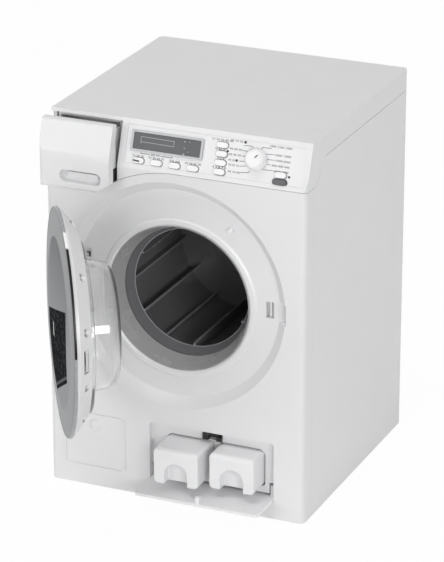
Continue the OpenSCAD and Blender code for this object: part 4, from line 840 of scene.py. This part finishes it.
# The pale caps and bead are painted highlights
points, faces = drumEdgeHighlightsMesh(drumEdgeHighlights)
edgeHighlightsMesh = meshOf("drum_edge_highlight_lines", points * mm, faces.tolist())
outward(edgeHighlightsMesh)
newPiece("drum_edge_highlight_lines", edgeHighlightsMesh, "drum_edge_highlight", "drum_set")
print("drum edges made")

# Floor: pale, with the toy's shadow on it, and nearly white to the camera
floorLook = {"size": 6.0, "colour": "fbfbfb", "roughness": 0.6, "glow": 1.0, "lift": 0.97, "below": 0.2 * mm}


# 1 for the rays that show the backdrop: from the camera, through glass and off gloss
def seenDirectly(tree):
    path = tree.nodes.new("ShaderNodeLightPath")
    value = path.outputs["Is Camera Ray"]
    for kind in ("Is Transmission Ray", "Is Glossy Ray"):
        value = calculated(tree, "MAXIMUM", value, path.outputs[kind])
    return value


def paleFloor(look):
    material, tree, shader = newMaterial("pale_floor")
    shader.inputs["Base Color"].default_value = linear(look["colour"])
    shader.inputs["Roughness"].default_value = look["roughness"]
    glow = tree.nodes.new("ShaderNodeEmission")
    glow.inputs["Strength"].default_value = look["glow"]
    share = calculated(tree, "MULTIPLY", seenDirectly(tree), look["lift"])
    shown = mixedShader(tree, share, shader.outputs["BSDF"], glow.outputs["Emission"])
    output = next(node for node in tree.nodes if node.type == "OUTPUT_MATERIAL")
    tree.links.new(shown, output.inputs["Surface"])
    return material


half = floorLook["size"] / 2
floorPoints = np.array([(-half, -half, 0), (half, -half, 0), (half, half, 0), (-half, half, 0)])
floorMesh = meshOf("floor", floorPoints, [(0, 1, 2, 3)])
floorMesh.materials.append(paleFloor(floorLook))
floor = bpy.data.objects.new("floor", floorMesh)
floor.location.z = cadLow.z - floorLook["below"]
bpy.context.scene.collection.objects.link(floor)

# Soft light all round, large lamps, and a narrow one that only the glossy pieces mirror
worldLook = {"colour": (1, 1, 1, 1), "fill": 0.4, "seen": 1.0}
lampLook = {
    "key": {"from": (-0.9, -1.7, 0.65), "size": (1.0, 0.8), "power": 6.2},
    "front": {"from": (1.35, -1.55, 0.6), "size": (0.8, 0.5), "power": 11.5},
    "top": {"from": (-0.2, -0.6, 1.9), "size": (0.6, 0.6), "power": 8.8},
    "rear": {"from": (0.7, 1.6, 1.0), "size": (0.6, 0.6), "power": 2},
    "glint": {"from": (0.541, -0.813, 0.489), "size": (0.05, 0.5), "power": 2.6},
}
world = bpy.data.worlds.new("studio")
world.use_nodes = True
bpy.context.scene.world = world
worldTree = world.node_tree
worldTree.nodes.clear()
backdrops = []
for strength in ("fill", "seen"):
    background = worldTree.nodes.new("ShaderNodeBackground")
    background.inputs["Color"].default_value = worldLook["colour"]
    background.inputs["Strength"].default_value = worldLook[strength]
    backdrops.append(background.outputs["Background"])
worldOut = worldTree.nodes.new("ShaderNodeOutputWorld")
worldTree.links.new(mixedShader(worldTree, seenDirectly(worldTree), *backdrops), worldOut.inputs["Surface"])

target = Vector((0, 0, cadHigh.z / 2))
for name, look in lampLook.items():
    lamp = bpy.data.lights.new(name, "AREA")
    lamp.shape = "RECTANGLE"
    lamp.size, lamp.size_y = look["size"]
    lamp.energy = look["power"]
    holder = bpy.data.objects.new(name + "_lamp", lamp)
    holder.location = look["from"]
    holder.rotation_mode = "QUATERNION"
    holder.rotation_quaternion = (target - holder.location).to_track_quat("-Z", "Y")
    holder.visible_diffuse = name != "glint"
    bpy.context.scene.collection.objects.link(holder)
print("floor and lights placed")

# Camera at the photograph's viewing angle
cameraLook = {"place": (0.78318, -1.80452, 0.90408), "azimuth": 23.618, "elevation": 21.624, "lens": 201.11,
              "sensor": 36, "near": 0.05, "far": 20}
azimuth = math.radians(cameraLook["azimuth"])
elevation = math.radians(cameraLook["elevation"])
level = math.cos(elevation)
back = Vector((math.sin(azimuth) * level, -math.cos(azimuth) * level, math.sin(elevation)))
cameraData = bpy.data.cameras.new("photo_camera")
cameraData.sensor_width = cameraLook["sensor"]
cameraData.lens = cameraLook["lens"]
cameraData.clip_start = cameraLook["near"]
cameraData.clip_end = cameraLook["far"]
camera = bpy.data.objects.new("photo_camera", cameraData)
camera.location = cameraLook["place"]
camera.rotation_mode = "QUATERNION"
camera.rotation_quaternion = (-back).to_track_quat("-Z", "Y")
bpy.context.scene.collection.objects.link(camera)
bpy.context.scene.camera = camera
bpy.context.scene.view_settings.view_transform = "Standard"
print("camera set")

# End of the scene
print("scene built")
